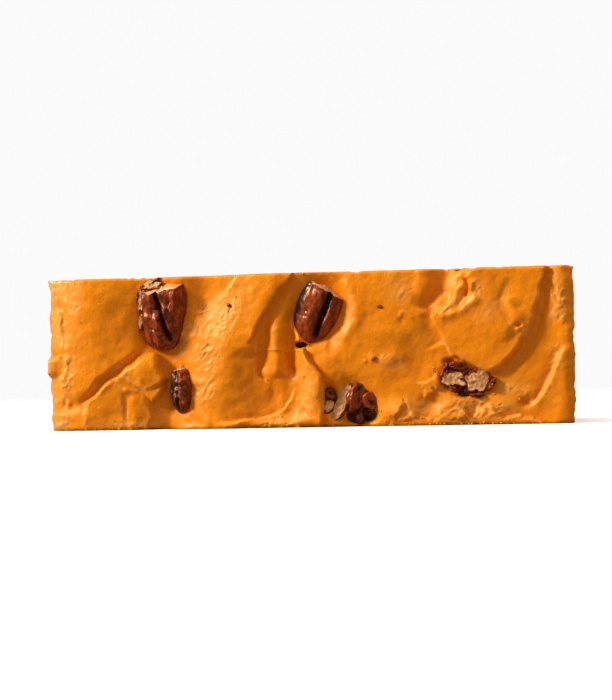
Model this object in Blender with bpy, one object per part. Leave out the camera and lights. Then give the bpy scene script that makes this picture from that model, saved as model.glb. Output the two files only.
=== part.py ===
"""A thick slice of pecan fudge, cut from a long pan and lying on one of its two cut sides.

The poured top of the fudge, with its folds, torn flakes and pecans, faces -Y. The pan's floor
faces +Y, the pan's walls are the ends at -X and +X, and the knife's cuts are the top and bottom.
Lengths are in millimetres, and finish_piece brings each mesh to metres. A place on the
poured top is (x, z): x from the slice's left end, z up from the side that it lies on.
"""

import math
from typing import NamedTuple

import bmesh
import bpy
import numpy as np
from mathutils import Matrix, Vector, noise

MM = 0.001

# The slice.
LENGTH = 130.0
THICKNESS = 38.0
DEPTH = 66.0
COLUMN = 1.5  # width of a square of the poured top's grid
LIP_SLOPE = 2.4  # width of the slope below a torn edge
WALL_DRAFT = 1.4  # how much the pan narrows at each end, from its rim to its floor
FLOOR_RADIUS = 5.0  # round where the pan's end walls meet its floor
FLOOR_STEPS = 4
RIM_DEPTH = 5.0  # the first ring behind the poured top
MIDDLE_DEPTH = 32.0

# The nuts.
SOCKET_GAP = 0.5  # between a nut and the hollow that it sits in, measured along its corners
SOCKET_OPENING = 8.0  # how far the hollow is drawn out to the front
NUT_SEGMENTS = 20
NUT_RINGS = 13
GROOVE_WIDTH = 0.2  # of half the nut's width
GROOVE_DEPTH = 0.5  # of the nut's height
FLAT_SIDE = 0.62  # height of the nut's flat side, as a share of its domed side
LUMP_HEIGHT = 0.16  # of a broken piece's radius
LUMPS_PER_RADIUS = 1.5

SHARP_ANGLE = 50.0  # degrees, from which an edge is shaded sharp

FUDGE_COLOR = (0.78, 0.32, 0.045, 1.0)
PECAN_COLOR = (0.16, 0.035, 0.012, 1.0)


class Mound(NamedTuple):
    """A smooth rise, or a hollow where its height is negative."""

    at: tuple
    radii: tuple
    height: float
    power: float = 2.0


class Fold(NamedTuple):
    """A rounded ridge along a path, or a trough where its height is negative."""

    path: list
    width: float
    height: float
    runs_out: bool = False


class Lip(NamedTuple):
    """A torn edge: high on the left of its path, and low on its right."""

    path: list
    rise: float
    drop: float
    reach: float


class Flake(NamedTuple):
    """A flat scale of fudge that lies over what is under it."""

    outline: list
    level: float
    edge: float


POURED_TOP = [
    # the smooth field at the left, which falls away towards the first pecan
    Mound((10, 25), (9, 17), 1.4),
    Mound((24, 27), (8, 9), -1.3),
    Mound((28, 8), (10, 9), -0.9),
    Fold([(0, 40), (0, -2)], 1.3, -1.3, runs_out=True),
    Lip([(6, 5), (10, 8.3), (14.5, 12.6), (19, 17), (24.5, 21.5)], 0.5, 1.5, 4.0),
    Flake([(8.3, -2), (8.6, 3), (10, 7.3), (17, 13.2), (19.8, 10.8), (20, -2)], 0.6, 1.4),
    Flake([(17.7, 13.4), (20.3, 15.8), (27, 19.6), (30.3, 12.5), (25, 9.6), (19.5, 11.2)], 1.1, 1.6),
    # the broad swirl, its lip, and the trough beside it
    Fold([(58, 42), (51, 33.5), (46, 26), (43, 18), (41.5, 10), (40.5, -2)], 8.4, 2.8, runs_out=True),
    Lip([(49, 39), (43, 31.6), (36.5, 28.6)], 0.5, 0.9, 4.0),
    Lip([(50.4, 20.6), (53.2, 26), (55.6, 30.2), (58.6, 34.5), (62, 39)], 1.0, 1.9, 4.0),
    Fold([(62, 37), (57.6, 31), (55.2, 26), (54.2, 20), (54.4, 14.5), (56, 11.5)], 2.3, -1.5),
    Fold([(59.8, 38), (58.8, 28), (58.0, 20), (58, 12)], 2.0, 0.9),
    Fold([(61.8, 30), (61.0, 21), (61.1, 15.5), (62.3, 11.5)], 1.5, -1.6),
    Fold([(50.5, 20), (51, 12.5), (54.5, 7.8), (59, 8)], 3.8, -1.0),
    # the narrow swirl that sweeps down in an S
    Fold([(63, 31), (62.9, 24), (64.2, 18.5), (66, 13.5), (66.4, 8.5), (65, 4), (62, 1)], 3.0, 2.6),
    Lip([(68, -2), (68.9, 5), (69.1, 9), (67.9, 12.8), (65.3, 17), (62.9, 23)], 0.4, 1.4, 3.4),
    Fold([(66, 2.5), (58, 2.6), (50, 1.5), (42, 0.8)], 1.8, 0.8),
    # the smooth field in the middle, and the second pecan's hollow
    Mound((82, 25), (17, 15), 1.5),
    Mound((68.6, 28), (7.2, 9.2), -2.0, power=4.0),
    Fold([(73, 20.2), (77.4, 25.5), (77.6, 32), (74.5, 37)], 1.8, 0.5),
    Fold([(62.4, 22.2), (66, 19.3), (71.5, 20)], 1.5, 0.6),
    Fold([(94.6, 42), (94.6, 31.8)], 2.3, 0.9),
    Fold([(99, 40), (98.4, 33), (96.4, 29.5)], 2.2, -1.6),
    Fold([(95.4, 28), (96.2, 23), (98.2, 19)], 1.9, -1.0),
    # the big torn flake, creased across, and the trough behind its edge
    Flake(
        [(96, 27), (101, 33.5), (106, 40), (124.6, 40), (122, 30), (118, 20), (109.5, 11.8), (99.5, 17)],
        2.0,
        1.8,
    ),
    Fold([(104, 38), (108, 30), (113, 25), (118, 20)], 5.0, 1.2),
    Fold([(125, 40), (123.6, 31), (121.8, 25), (120.8, 20.5), (117, 14.5), (112, 10.8)], 2.2, -1.8),
    # the rim at the right
    Fold([(128, 40), (127.6, 30), (128.4, 20), (127.6, 10), (126.5, -2)], 2.8, 0.9, runs_out=True),
    Lip([(127.8, 19), (124, 10.5), (119.3, 3.6)], 0.9, 0.9, 3.4),
    Fold([(130, 40), (130, -2)], 1.3, -1.4, runs_out=True),
    # small flakes low down
    Flake([(92, 11.5), (97.5, 13.2), (97.8, 9), (94.6, 6)], 1.3, 1.2),
    Flake([(86.4, 0.6), (87.5, 5), (91.7, 4), (93, 1)], 1.0, 1.2),
    # hollows around the other nuts
    Mound((104.5, 10.8), (7.4, 4.2), -1.0, power=4.0),
    Mound((75.8, 5.0), (7.2, 5.6), -1.6, power=4.0),
    Mound((34.3, 9.8), (3.4, 6.2), -0.9, power=4.0),
    Mound((29, 28), (7.0, 9.4), -1.2, power=4.0),
]


class Pecan(NamedTuple):
    """A pecan half, domed side out, broken across above its middle."""

    name: str
    middle: tuple  # of the whole half, before the break
    width: float
    length: float
    height: float
    lean: float  # degrees, clockwise as seen from the front
    broken_at: float  # along the nut from its middle
    break_slant: float  # degrees
    sunk: float  # how far the middle lies behind the level of the fudge
    grooved: bool = True


class Chunk(NamedTuple):
    """An irregular broken piece of nut."""

    name: str
    middle: tuple
    size: tuple  # length, width and height
    lean: float
    sunk: float
    breaks: list  # planes: the direction of each, and how far out from the middle it lies
    seed: float


PECANS = [
    Pecan("pecan_left", (29.6, 32.2), 12.2, 25.0, 5.2, 6.0, 4.2, 14.0, 1.9),
    Pecan("pecan_middle", (70.2, 30.9), 10.8, 22.0, 4.8, 20.0, 3.6, -4.0, 2.0),
    Pecan("pecan_sliver", (34.2, 9.8), 5.6, 11.8, 3.4, -3.0, 5.2, 8.0, 0.9, grooved=False),
]
CHUNKS = [
    Chunk(
        "pecan_chunk_low",
        (76.0, 5.9),
        (13.4, 9.4, 8.0),
        -24.0,
        1.8,
        [((0.5, -0.8, 0.3), 3.2), ((-0.6, -0.7, 0.3), 3.6)],
        3.7,
    ),
    Chunk(
        "pecan_chunk_right",
        (104.8, 10.9),
        (13.2, 7.8, 7.0),
        -14.0,
        1.8,
        [((0.1, -1.0, 0.1), 2.6), ((0.2, -0.5, 0.9), 3.3)],
        8.2,
    ),
]


def smooth_path(points, steps=6):
    """Points along a Catmull-Rom curve through the given ones."""
    given = np.array(points, float)
    if len(given) < 3:
        return given
    before, after = 2 * given[0] - given[1], 2 * given[-1] - given[-2]
    ends = np.vstack([before, given, after])
    curve = []
    for a, b, c, d in zip(ends, ends[1:], ends[2:], ends[3:]):
        for t in np.arange(steps) / steps:
            cubic = 2 * b + (c - a) * t + (2 * a - 5 * b + 4 * c - d) * t**2 + (3 * b - a - 3 * c + d) * t**3
            curve.append(cubic / 2)
    return np.array(curve + [given[-1]])


def ease(t):
    """0 up to t = 0, 1 from t = 1, and smooth between them."""
    t = np.clip(t, 0.0, 1.0)
    return t * t * (3 - 2 * t)


def nearest_on(x, z, points):
    """For each place: its distance to a line of points, its side (1 is left), and how far along it is."""
    distance, side, along = np.full(x.shape, np.inf), np.ones(x.shape), np.zeros(x.shape)
    steps = np.diff(points, axis=0)
    lengths = np.hypot(steps[:, 0], steps[:, 1])
    passed = 0.0
    for (ax, az), (sx, sz), length in zip(points, steps, lengths):
        t = np.clip(((x - ax) * sx + (z - az) * sz) / length**2, 0, 1)
        dx, dz = x - ax - t * sx, z - az - t * sz
        nearer = np.hypot(dx, dz) < distance
        distance = np.where(nearer, np.hypot(dx, dz), distance)
        side = np.where(nearer, np.where(sx * dz - sz * dx > 0, 1.0, -1.0), side)
        along = np.where(nearer, (passed + t * length) / lengths.sum(), along)
        passed += length
    return distance, side, along


def depth_inside(x, z, outline):
    """Distance to an outline, positive inside it."""
    corners = np.array(outline, float)
    inside = np.zeros(x.shape, bool)
    for (ax, az), (bx, bz) in zip(corners, np.roll(corners, -1, axis=0)):
        if az != bz:
            crossing = ((az > z) != (bz > z)) & (x < ax + (z - az) * (bx - ax) / (bz - az))
            inside ^= crossing
    distance, _, _ = nearest_on(x, z, np.vstack([corners, corners[:1]]))
    return np.where(inside, distance, -distance)


def run_in(along, share=0.15):
    """Fades a fold or a lip in and out at the ends of its path."""
    return ease(along / share) * ease((1 - along) / share)


def poured_height(x, z):
    """How far the poured top stands out at each place, from all its features in order."""
    height = np.zeros(x.shape)
    for form in POURED_TOP:
        if isinstance(form, Mound):
            off = np.hypot((x - form.at[0]) / form.radii[0], (z - form.at[1]) / form.radii[1])
            height += form.height * np.exp(-(off**form.power))
        elif isinstance(form, Fold):
            distance, _, along = nearest_on(x, z, smooth_path(form.path))
            fade = 1.0 if form.runs_out else run_in(along)
            height += form.height * fade * np.exp(-((distance / form.width) ** 2))
        elif isinstance(form, Lip):
            distance, side, along = nearest_on(x, z, smooth_path(form.path))
            upper = ease(0.5 + side * distance / LIP_SLOPE)
            step = form.rise * upper - form.drop * (1 - upper)
            height += step * run_in(along) * np.clip(1 - distance / form.reach, 0, 1) ** 2
        else:
            cover = ease(depth_inside(x, z, form.outline) / form.edge)
            height += cover * (form.level - height)
    return height


def end_inset(depth):
    """How far the pan's end walls lie inside its rim at this depth."""
    into_round = max(0.0, depth - (DEPTH - FLOOR_RADIUS))
    return WALL_DRAFT * depth / DEPTH + FLOOR_RADIUS - math.sqrt(FLOOR_RADIUS**2 - into_round**2)


def ring_depths():
    """Depths of the rings that carry the poured top's outline back to the pan's floor."""
    round_start = DEPTH - FLOOR_RADIUS
    turns = [math.sin(math.pi / 2 * i / FLOOR_STEPS) for i in range(FLOOR_STEPS + 1)]
    return [RIM_DEPTH, MIDDLE_DEPTH] + [round_start + FLOOR_RADIUS * turn for turn in turns]


def slice_mesh():
    """The slice: its poured top as a grid, drawn back in rings to the pan's floor and closed there."""
    bm = bmesh.new()
    columns, rows = round(LENGTH / COLUMN), round(THICKNESS / COLUMN)
    bmesh.ops.create_grid(bm, x_segments=columns, y_segments=rows, size=0.5)
    upright = Matrix.Rotation(math.pi / 2, 4, "X") @ Matrix.Diagonal((LENGTH, THICKNESS, 1, 1))
    bmesh.ops.transform(bm, matrix=Matrix.Translation((0, 0, THICKNESS / 2)) @ upright, verts=bm.verts)
    x = np.array([v.co.x + LENGTH / 2 for v in bm.verts])
    z = np.array([v.co.z for v in bm.verts])
    for vert, height in zip(bm.verts, poured_height(x, z)):
        vert.co.y = -height
    ring = [edge for edge in bm.edges if edge.is_boundary]
    last_width = 1.0
    for depth in ring_depths():
        drawn = bmesh.ops.extrude_edge_only(bm, edges=ring)["geom"]
        ring = [part for part in drawn if isinstance(part, bmesh.types.BMEdge)]
        width = 1 - 2 * end_inset(depth) / LENGTH
        for vert in (part for part in drawn if isinstance(part, bmesh.types.BMVert)):
            vert.co.x *= width / last_width
            vert.co.y = depth
        last_width = width
    bmesh.ops.contextual_create(bm, geom=ring)
    bmesh.ops.recalc_face_normals(bm, faces=bm.faces)
    return bm


def close_break(bm, point, direction):
    """Breaks a nut off beyond a plane, and closes it there."""
    everything = list(bm.verts) + list(bm.edges) + list(bm.faces)
    cut = bmesh.ops.bisect_plane(bm, geom=everything, plane_co=point, plane_no=direction, clear_outer=True)
    rim = [part for part in cut["geom_cut"] if isinstance(part, bmesh.types.BMEdge)]
    bmesh.ops.contextual_create(bm, geom=rim)


def set_in_fudge(bm, middle, lean, sunk):
    """Turns a nut, made round its own middle with its domed side at -Y, and sets it in the poured top."""
    turned = Matrix.Rotation(math.radians(lean), 4, "Y")
    place = Matrix.Translation((middle[0] - LENGTH / 2, sunk, middle[1]))
    bmesh.ops.transform(bm, matrix=place @ turned, verts=bm.verts)


def pecan_mesh(nut):
    """A pecan half: two long lobes with a groove between them on the domed side, flatter behind."""
    bm = bmesh.new()
    bmesh.ops.create_uvsphere(bm, u_segments=NUT_SEGMENTS, v_segments=NUT_RINGS, radius=1.0)
    for vert in bm.verts:
        groove = GROOVE_DEPTH * math.exp(-((vert.co.x / GROOVE_WIDTH) ** 2)) if nut.grooved else 0.0
        vert.co.y *= (1 - groove) if vert.co.y < 0 else FLAT_SIDE
    shape = Matrix.Diagonal((nut.width / 2, nut.height, nut.length / 2, 1))
    bmesh.ops.transform(bm, matrix=shape, verts=bm.verts)
    slant = math.radians(nut.break_slant)
    close_break(bm, (0, 0, nut.broken_at), (-math.sin(slant), 0, math.cos(slant)))
    set_in_fudge(bm, nut.middle, nut.lean, nut.sunk)
    return bm


def chunk_mesh(nut):
    """A broken piece of nut: a lumpy ball with flat breaks."""
    bm = bmesh.new()
    bmesh.ops.create_icosphere(bm, subdivisions=2, radius=0.5)
    for vert in bm.verts:
        place = vert.co * 2 * LUMPS_PER_RADIUS + Vector((nut.seed, 0, 0))
        vert.co *= 1 + LUMP_HEIGHT * noise.noise(place)
    length, width, height = nut.size
    bmesh.ops.transform(bm, matrix=Matrix.Diagonal((length, height, width, 1)), verts=bm.verts)
    for direction, out in nut.breaks:
        outward = Vector(direction).normalized()
        close_break(bm, outward * out, outward)
    set_in_fudge(bm, nut.middle, nut.lean, nut.sunk)
    bmesh.ops.triangulate(bm, faces=bm.faces)
    return bm


def material(name, color, roughness):
    """A plain Principled material."""
    made = bpy.data.materials.new(name)
    made.use_nodes = True
    shader = made.node_tree.nodes["Principled BSDF"]
    shader.inputs["Base Color"].default_value = color
    shader.inputs["Roughness"].default_value = roughness
    shader.inputs["Metallic"].default_value = 0.0
    return made


def finish_piece(name, bm, finish):
    """Makes an object, in metres, from a mesh in millimetres."""
    bmesh.ops.recalc_face_normals(bm, faces=bm.faces)
    bmesh.ops.scale(bm, vec=(MM, MM, MM), verts=bm.verts)
    mesh = bpy.data.meshes.new(name)
    bm.to_mesh(mesh)
    bm.free()
    mesh.materials.append(finish)
    mesh.shade_smooth()
    mesh.set_sharp_from_angle(angle=math.radians(SHARP_ANGLE))
    piece = bpy.data.objects.new(name, mesh)
    bpy.context.scene.collection.objects.link(piece)
    return piece


def socket_mesh(nut_mesh):
    """The hollow that a nut sits in: the hull of the nut, a little larger and drawn out to the front."""
    nut_mesh.normal_update()
    grown = [vert.co + vert.normal * SOCKET_GAP for vert in nut_mesh.verts]
    nut_mesh.free()
    bm = bmesh.new()
    for place in grown:
        bm.verts.new(place)
        bm.verts.new(place - Vector((0, SOCKET_OPENING, 0)))
    bmesh.ops.convex_hull(bm, input=bm.verts)
    bmesh.ops.delete(bm, geom=[vert for vert in bm.verts if not vert.link_faces], context="VERTS")
    return bm


def hollow_out(fudge, nut, nut_mesh):
    """Cuts the socket of a nut into the fudge."""
    cutter = finish_piece(nut.name + "_socket", socket_mesh(nut_mesh), fudge.data.materials[0])
    cutter.hide_render = True
    cutter.display_type = "WIRE"
    cut = fudge.modifiers.new(cutter.name, "BOOLEAN")
    cut.operation = "DIFFERENCE"
    cut.object = cutter
    return cutter


def centre_on_floor(pieces):
    """Moves everything along Y so that the origin is at the middle of the slice's underside."""
    bpy.context.view_layer.update()
    shown = [piece for piece in pieces if not piece.hide_render]
    ends = [vert.co.y for piece in shown for vert in piece.data.vertices]
    for piece in pieces:
        piece.location.y = -(min(ends) + max(ends)) / 2


def main():
    for old in list(bpy.data.objects):
        bpy.data.objects.remove(old)
    fudge_finish = material("fudge", FUDGE_COLOR, 0.45)
    pecan_finish = material("pecan", PECAN_COLOR, 0.4)
    fudge = finish_piece("fudge", slice_mesh(), fudge_finish)
    pieces = [fudge]
    for nuts, make in ((PECANS, pecan_mesh), (CHUNKS, chunk_mesh)):
        for nut in nuts:
            pieces.append(finish_piece(nut.name, make(nut), pecan_finish))
            pieces.append(hollow_out(fudge, nut, make(nut)))
    centre_on_floor(pieces)


main()
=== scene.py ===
"""Looks of a pecan fudge slice: the poured top with its folds, flakes and nuts, and the cut sides.

The slice lies on a cut side. Its poured top faces -Y, the pan's floor faced +Y and the pan's walls
stood at -X and +X. Sizes are in millimetres. A place on the poured top is (x, z): x from the slice's
left end, z up from the side that it lies on, and a height stands out of the poured top towards -Y.
"""

import logging
import math
from dataclasses import dataclass, field
from enum import Enum
from typing import Protocol

import bmesh
import bpy
import numpy as np
from mathutils import Matrix, Vector, noise


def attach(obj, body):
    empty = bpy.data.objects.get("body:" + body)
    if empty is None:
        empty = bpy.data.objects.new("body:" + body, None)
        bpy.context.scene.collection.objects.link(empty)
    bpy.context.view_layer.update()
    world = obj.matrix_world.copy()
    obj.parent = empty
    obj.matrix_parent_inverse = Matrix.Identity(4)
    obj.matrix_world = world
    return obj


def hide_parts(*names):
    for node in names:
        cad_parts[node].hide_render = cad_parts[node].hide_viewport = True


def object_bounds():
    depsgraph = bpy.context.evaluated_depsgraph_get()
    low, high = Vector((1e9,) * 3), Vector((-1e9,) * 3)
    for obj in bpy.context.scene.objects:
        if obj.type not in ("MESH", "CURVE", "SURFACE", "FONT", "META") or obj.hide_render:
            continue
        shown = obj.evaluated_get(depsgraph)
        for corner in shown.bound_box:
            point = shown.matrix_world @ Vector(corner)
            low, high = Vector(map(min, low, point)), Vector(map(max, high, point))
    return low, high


MM = 0.001
LOG = logging.getLogger("fudge slice")

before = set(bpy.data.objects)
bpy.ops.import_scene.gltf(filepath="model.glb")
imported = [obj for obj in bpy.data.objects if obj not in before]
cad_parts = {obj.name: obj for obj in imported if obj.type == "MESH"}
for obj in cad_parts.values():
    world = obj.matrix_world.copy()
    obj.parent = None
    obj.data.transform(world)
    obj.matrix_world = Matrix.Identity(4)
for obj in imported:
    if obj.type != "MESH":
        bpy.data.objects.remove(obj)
CAD_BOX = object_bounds()

Pair = tuple[float, float]
Point = tuple[float, float]
Triple = tuple[float, float, float]
Place = tuple[float, float, float]
Color = tuple[float, float, float, float]
Layer = bmesh.types.BMLayerItem
Socket = bpy.types.NodeSocket
Piece = bpy.types.Object


# ---------------------------------------------------------------- the language of the poured top


def ease(t: np.ndarray) -> np.ndarray:
    """Returns 0 up to t = 0, 1 from t = 1, and a smooth rise between them."""
    t = np.clip(t, 0.0, 1.0)
    return t * t * (3 - 2 * t)


def smooth_path(points: list[Point], steps: int = 6) -> np.ndarray:
    """Runs a Catmull-Rom curve through points.

    Args:
        points: places that the curve passes through.
        steps: straight pieces between two of them.

    Returns:
        The curve's points, one row each.
    """
    given = np.array(points, float)
    if len(given) < 3:
        return given
    ends = np.vstack([2 * given[0] - given[1], given, 2 * given[-1] - given[-2]])
    curve = []
    for a, b, c, d in zip(ends, ends[1:], ends[2:], ends[3:]):
        for t in np.arange(steps) / steps:
            cubic = 2 * b + (c - a) * t + (2 * a - 5 * b + 4 * c - d) * t**2 + (3 * b - a - 3 * c + d) * t**3
            curve.append(cubic / 2)
    return np.array(curve + [given[-1]])


@dataclass
class Nearest:
    """What each place knows of a line: how far it is, on which side, how far along, and which way."""

    distance: np.ndarray
    side: np.ndarray
    along: np.ndarray
    away_x: np.ndarray
    away_z: np.ndarray

    @classmethod
    def to_line(cls, x: np.ndarray, z: np.ndarray, points: np.ndarray) -> "Nearest":
        """Measures every place against a line of points. The left of the line is side 1.

        Args:
            x: places along the slice.
            z: places up the slice.
            points: the line's points, one row each.

        Returns:
            What each place knows of the line.
        """
        found = cls(*(np.full(x.shape, start) for start in (np.inf, 1.0, 0.0, 0.0, 0.0)))
        steps = np.diff(points, axis=0)
        lengths = np.hypot(steps[:, 0], steps[:, 1])
        passed = 0.0
        for (ax, az), (sx, sz), length in zip(points, steps, lengths):
            t = np.clip(((x - ax) * sx + (z - az) * sz) / length**2, 0, 1)
            dx, dz = x - ax - t * sx, z - az - t * sz
            gap = np.hypot(dx, dz)
            nearer = gap < found.distance
            found.distance = np.where(nearer, gap, found.distance)
            found.side = np.where(nearer, np.where(sx * dz - sz * dx > 0, 1.0, -1.0), found.side)
            found.along = np.where(nearer, (passed + t * length) / lengths.sum(), found.along)
            found.away_x = np.where(nearer, sz / length, found.away_x)
            found.away_z = np.where(nearer, -sx / length, found.away_z)
            passed += length
        return found

    def run_in(self, share: float) -> np.ndarray:
        """Fades from 0 to 1 and back over a share of the line at each end.

        Args:
            share: the share, 0 for no fade.

        Returns:
            The fade at each place.
        """
        if not share:
            return np.ones(self.distance.shape)
        return ease(self.along / share) * ease((1 - self.along) / share)


def depth_inside(x: np.ndarray, z: np.ndarray, outline: list[Point]) -> np.ndarray:
    """Measures how deep each place lies inside an outline.

    Args:
        x: places along the slice.
        z: places up the slice.
        outline: the outline's corners.

    Returns:
        The distance to the outline, positive inside it and negative outside.
    """
    corners = np.array(outline, float)
    inside = np.zeros(x.shape, bool)
    for (ax, az), (bx, bz) in zip(corners, np.roll(corners, -1, axis=0)):
        if az != bz:
            inside ^= ((az > z) != (bz > z)) & (x < ax + (z - az) * (bx - ax) / (bz - az))
    distance = Nearest.to_line(x, z, np.vstack([corners, corners[:1]])).distance
    return np.where(inside, distance, -distance)


LATTICE = 256


def lumps(x: np.ndarray, z: np.ndarray, size: Pair, seed: int, turn: float = 0.0) -> np.ndarray:
    """Smooth random lumps between -1 and 1.

    Args:
        x: places along the slice.
        z: places up the slice.
        size: length and width of a lump.
        seed: which lumps.
        turn: radians by which their length is turned up from the slice's length.

    Returns:
        The lumps' height at each place.
    """
    u = (x * math.cos(turn) + z * math.sin(turn)) / size[0]
    v = (z * math.cos(turn) - x * math.sin(turn)) / size[1]
    lattice = np.random.default_rng(seed).uniform(-1, 1, (LATTICE, LATTICE))
    i, j = np.floor(u).astype(int), np.floor(v).astype(int)
    fu, fv = ease(u - i), ease(v - j)
    i, j = i % (LATTICE - 1), j % (LATTICE - 1)
    low = lattice[i, j] * (1 - fu) + lattice[i + 1, j] * fu
    high = lattice[i, j + 1] * (1 - fu) + lattice[i + 1, j + 1] * fu
    return low * (1 - fv) + high * fv


class Relief:
    """The poured top as it is being formed: its height, and how far it leans aside, at each place."""

    WANDER = ((4.2, 0.45, 13), (1.4, 0.22, 11))
    PATCH_SIZE = (2.2, 2.2)
    CRUMB_SIZE = (0.7, 0.7)

    def __init__(self, x: np.ndarray, z: np.ndarray) -> None:
        """Starts flat, with slightly wandering coordinates so that no edge is ruled.

        Args:
            x: places along the slice.
            z: places up the slice.
        """
        self.x, self.z = x, z
        self.drawn_x, self.drawn_z = x, z
        for size, reach, seed in self.WANDER:
            self.drawn_x = self.drawn_x + reach * lumps(x, z, (size, size), seed)
            self.drawn_z = self.drawn_z + reach * lumps(x, z, (size, size), seed + 1)
        self.patches = ease(0.5 + 1.1 * lumps(x, z, self.PATCH_SIZE, 15))
        self.height, self.lean_x, self.lean_z, self.torn_and_sheen = (np.zeros(x.shape) for _ in range(4))

    def crumble(self, rim: np.ndarray, height: float, seed: int, pale: float) -> None:
        """Roughens a ripped rim with small crumbs and paints it pale: bared inside and painted highlight.

        Args:
            rim: where the rim is, from 0 to 1.
            height: the crumbs' height.
            seed: which crumbs.
            pale: how pale the rim is, from 0 to 1.
        """
        self.height += height * rim * lumps(self.x, self.z, self.CRUMB_SIZE, seed)
        self.torn_and_sheen = np.maximum(self.torn_and_sheen, pale * rim)


class Form(Protocol):
    """Anything that shapes the poured top."""

    def form(self, relief: Relief) -> None:
        """Shapes the relief."""


@dataclass(frozen=True)
class Mound:
    """A smooth rise, or a hollow where its height is negative."""

    at: Point
    radii: Pair
    height: float
    turn: float = 0.0
    power: float = 2.0

    def form(self, relief: Relief) -> None:
        """Adds the mound.

        Args:
            relief: the poured top as it is so far.
        """
        dx, dz = relief.x - self.at[0], relief.z - self.at[1]
        along = dx * math.cos(self.turn) + dz * math.sin(self.turn)
        across = dz * math.cos(self.turn) - dx * math.sin(self.turn)
        off = np.hypot(along / self.radii[0], across / self.radii[1])
        relief.height += self.height * np.exp(-(off**self.power))


@dataclass(frozen=True)
class Fold:
    """A rounded ridge along a path, or a trough where its heights are negative.

    The widths and the heights are spread evenly along the path. The ends fade over the share run_in.
    """

    path: list[Point]
    widths: tuple[float, ...]
    heights: tuple[float, ...]
    run_in: float = 0.15
    power: float = 2.0

    def form(self, relief: Relief) -> None:
        """Adds the fold.

        Args:
            relief: the poured top as it is so far.
        """
        near = Nearest.to_line(relief.drawn_x, relief.drawn_z, smooth_path(self.path))
        width = np.interp(near.along, np.linspace(0, 1, len(self.widths)), self.widths)
        height = np.interp(near.along, np.linspace(0, 1, len(self.heights)), self.heights)
        relief.height += height * near.run_in(self.run_in) * np.exp(-((near.distance / width) ** self.power))


@dataclass(frozen=True)
class Lip:
    """A ripped edge: high on the left of its path and low on its right, with its crest curled over.

    The rise and the drop die away over reach_high and reach_low. The step between them is twice the
    softness wide.
    """

    path: list[Point]
    rise: float
    drop: float
    reach_high: float
    reach_low: float
    softness: float = 0.3
    curl: float = 0.0
    run_in: float = 0.15
    curl_width: float = 0.9
    rim_width: float = 0.35

    def form(self, relief: Relief) -> None:
        """Adds the lip.

        Args:
            relief: the poured top as it is so far.
        """
        near = Nearest.to_line(relief.drawn_x, relief.drawn_z, smooth_path(self.path))
        upper = ease(0.5 + near.side * near.distance / (2 * self.softness))
        high = self.rise * np.clip(1 - near.distance / self.reach_high, 0, 1) ** 2
        low = -self.drop * np.clip(1 - near.distance / self.reach_low, 0, 1) ** 2
        fade = near.run_in(self.run_in)
        relief.height += fade * (upper * high + (1 - upper) * low)
        bend = self.curl * fade * upper * np.exp(-((near.distance / self.curl_width) ** 2))
        relief.lean_x += bend * near.away_x
        relief.lean_z += bend * near.away_z
        # The crest's rim is painted pale: partly its bared inside, partly a painted highlight.
        rim = fade * upper * relief.patches * np.exp(-((near.distance / self.rim_width) ** 2))
        relief.crumble(rim, 0.14, 16, pale=0.8)


@dataclass(frozen=True)
class Flake:
    """A scale of fudge that lies over what is under it, at its own level and slope.

    Its edge rises over the width edge and wanders by ragged.
    """

    outline: list[Point]
    level: float
    edge: float
    slope: Pair = (0.0, 0.0)
    ragged: float = 0.0
    tear_size: Pair = (0.9, 0.9)
    rim_width: float = 0.35

    def form(self, relief: Relief) -> None:
        """Lays the flake over the relief.

        Args:
            relief: the poured top as it is so far.
        """
        wander = (self.ragged * lumps(relief.x, relief.z, self.tear_size, seed) for seed in (5, 6))
        inside = depth_inside(relief.drawn_x + next(wander), relief.drawn_z + next(wander), self.outline)
        middle = np.mean(np.array(self.outline, float), axis=0)
        top = self.level + self.slope[0] * (relief.x - middle[0]) + self.slope[1] * (relief.z - middle[1])
        relief.height += ease(inside / self.edge) * (top - relief.height)
        # The flake's rim is painted pale: partly its bared inside, partly a painted highlight.
        rim = relief.patches * np.exp(-(((inside - 0.8 * self.edge) / self.rim_width) ** 2))
        relief.crumble(rim, 0.12, 17, pale=0.4)


@dataclass(frozen=True)
class Wrinkles:
    """A band of ripped, wrinkled skin along a path, pale on its crests partly as painted sheen."""

    path: list[Point]
    width: float
    height: float
    turn: float
    seed: int
    size: Pair = (2.2, 0.75)
    pale: float = 0.5
    patch_size: Pair = (3.2, 2.4)
    wander_size: Pair = (2.6, 2.6)
    wander: float = 0.8

    def form(self, relief: Relief) -> None:
        """Adds the wrinkles, in patches.

        Args:
            relief: the poured top as it is so far.
        """
        near = Nearest.to_line(relief.x, relief.z, smooth_path(self.path))
        band = near.run_in(0.12) * np.exp(-((near.distance / self.width) ** 2))
        patches = ease(0.6 + 0.9 * lumps(relief.x, relief.z, self.patch_size, self.seed + 4, self.turn))
        x = relief.x + self.wander * lumps(relief.x, relief.z, self.wander_size, self.seed)
        z = relief.z + self.wander * lumps(relief.x, relief.z, self.wander_size, self.seed + 1)
        long = lumps(x, z, self.size, self.seed + 2, self.turn)
        short = lumps(x, z, (self.size[0] * 0.45, self.size[1] * 0.6), self.seed + 3, self.turn + 0.5)
        crest = np.clip(1 - np.abs(long) / 0.5, 0, 1) ** 1.5
        relief.height += self.height * band * patches * (0.3 * long + 1.1 * crest + 0.4 * short)
        # Pale in patches and on the crests: partly the ripped skin's own paleness, partly painted sheen.
        pale = self.pale * band * (0.5 + 0.5 * patches) * (0.45 + 0.55 * crest)
        relief.torn_and_sheen = np.maximum(relief.torn_and_sheen, pale)


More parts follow.
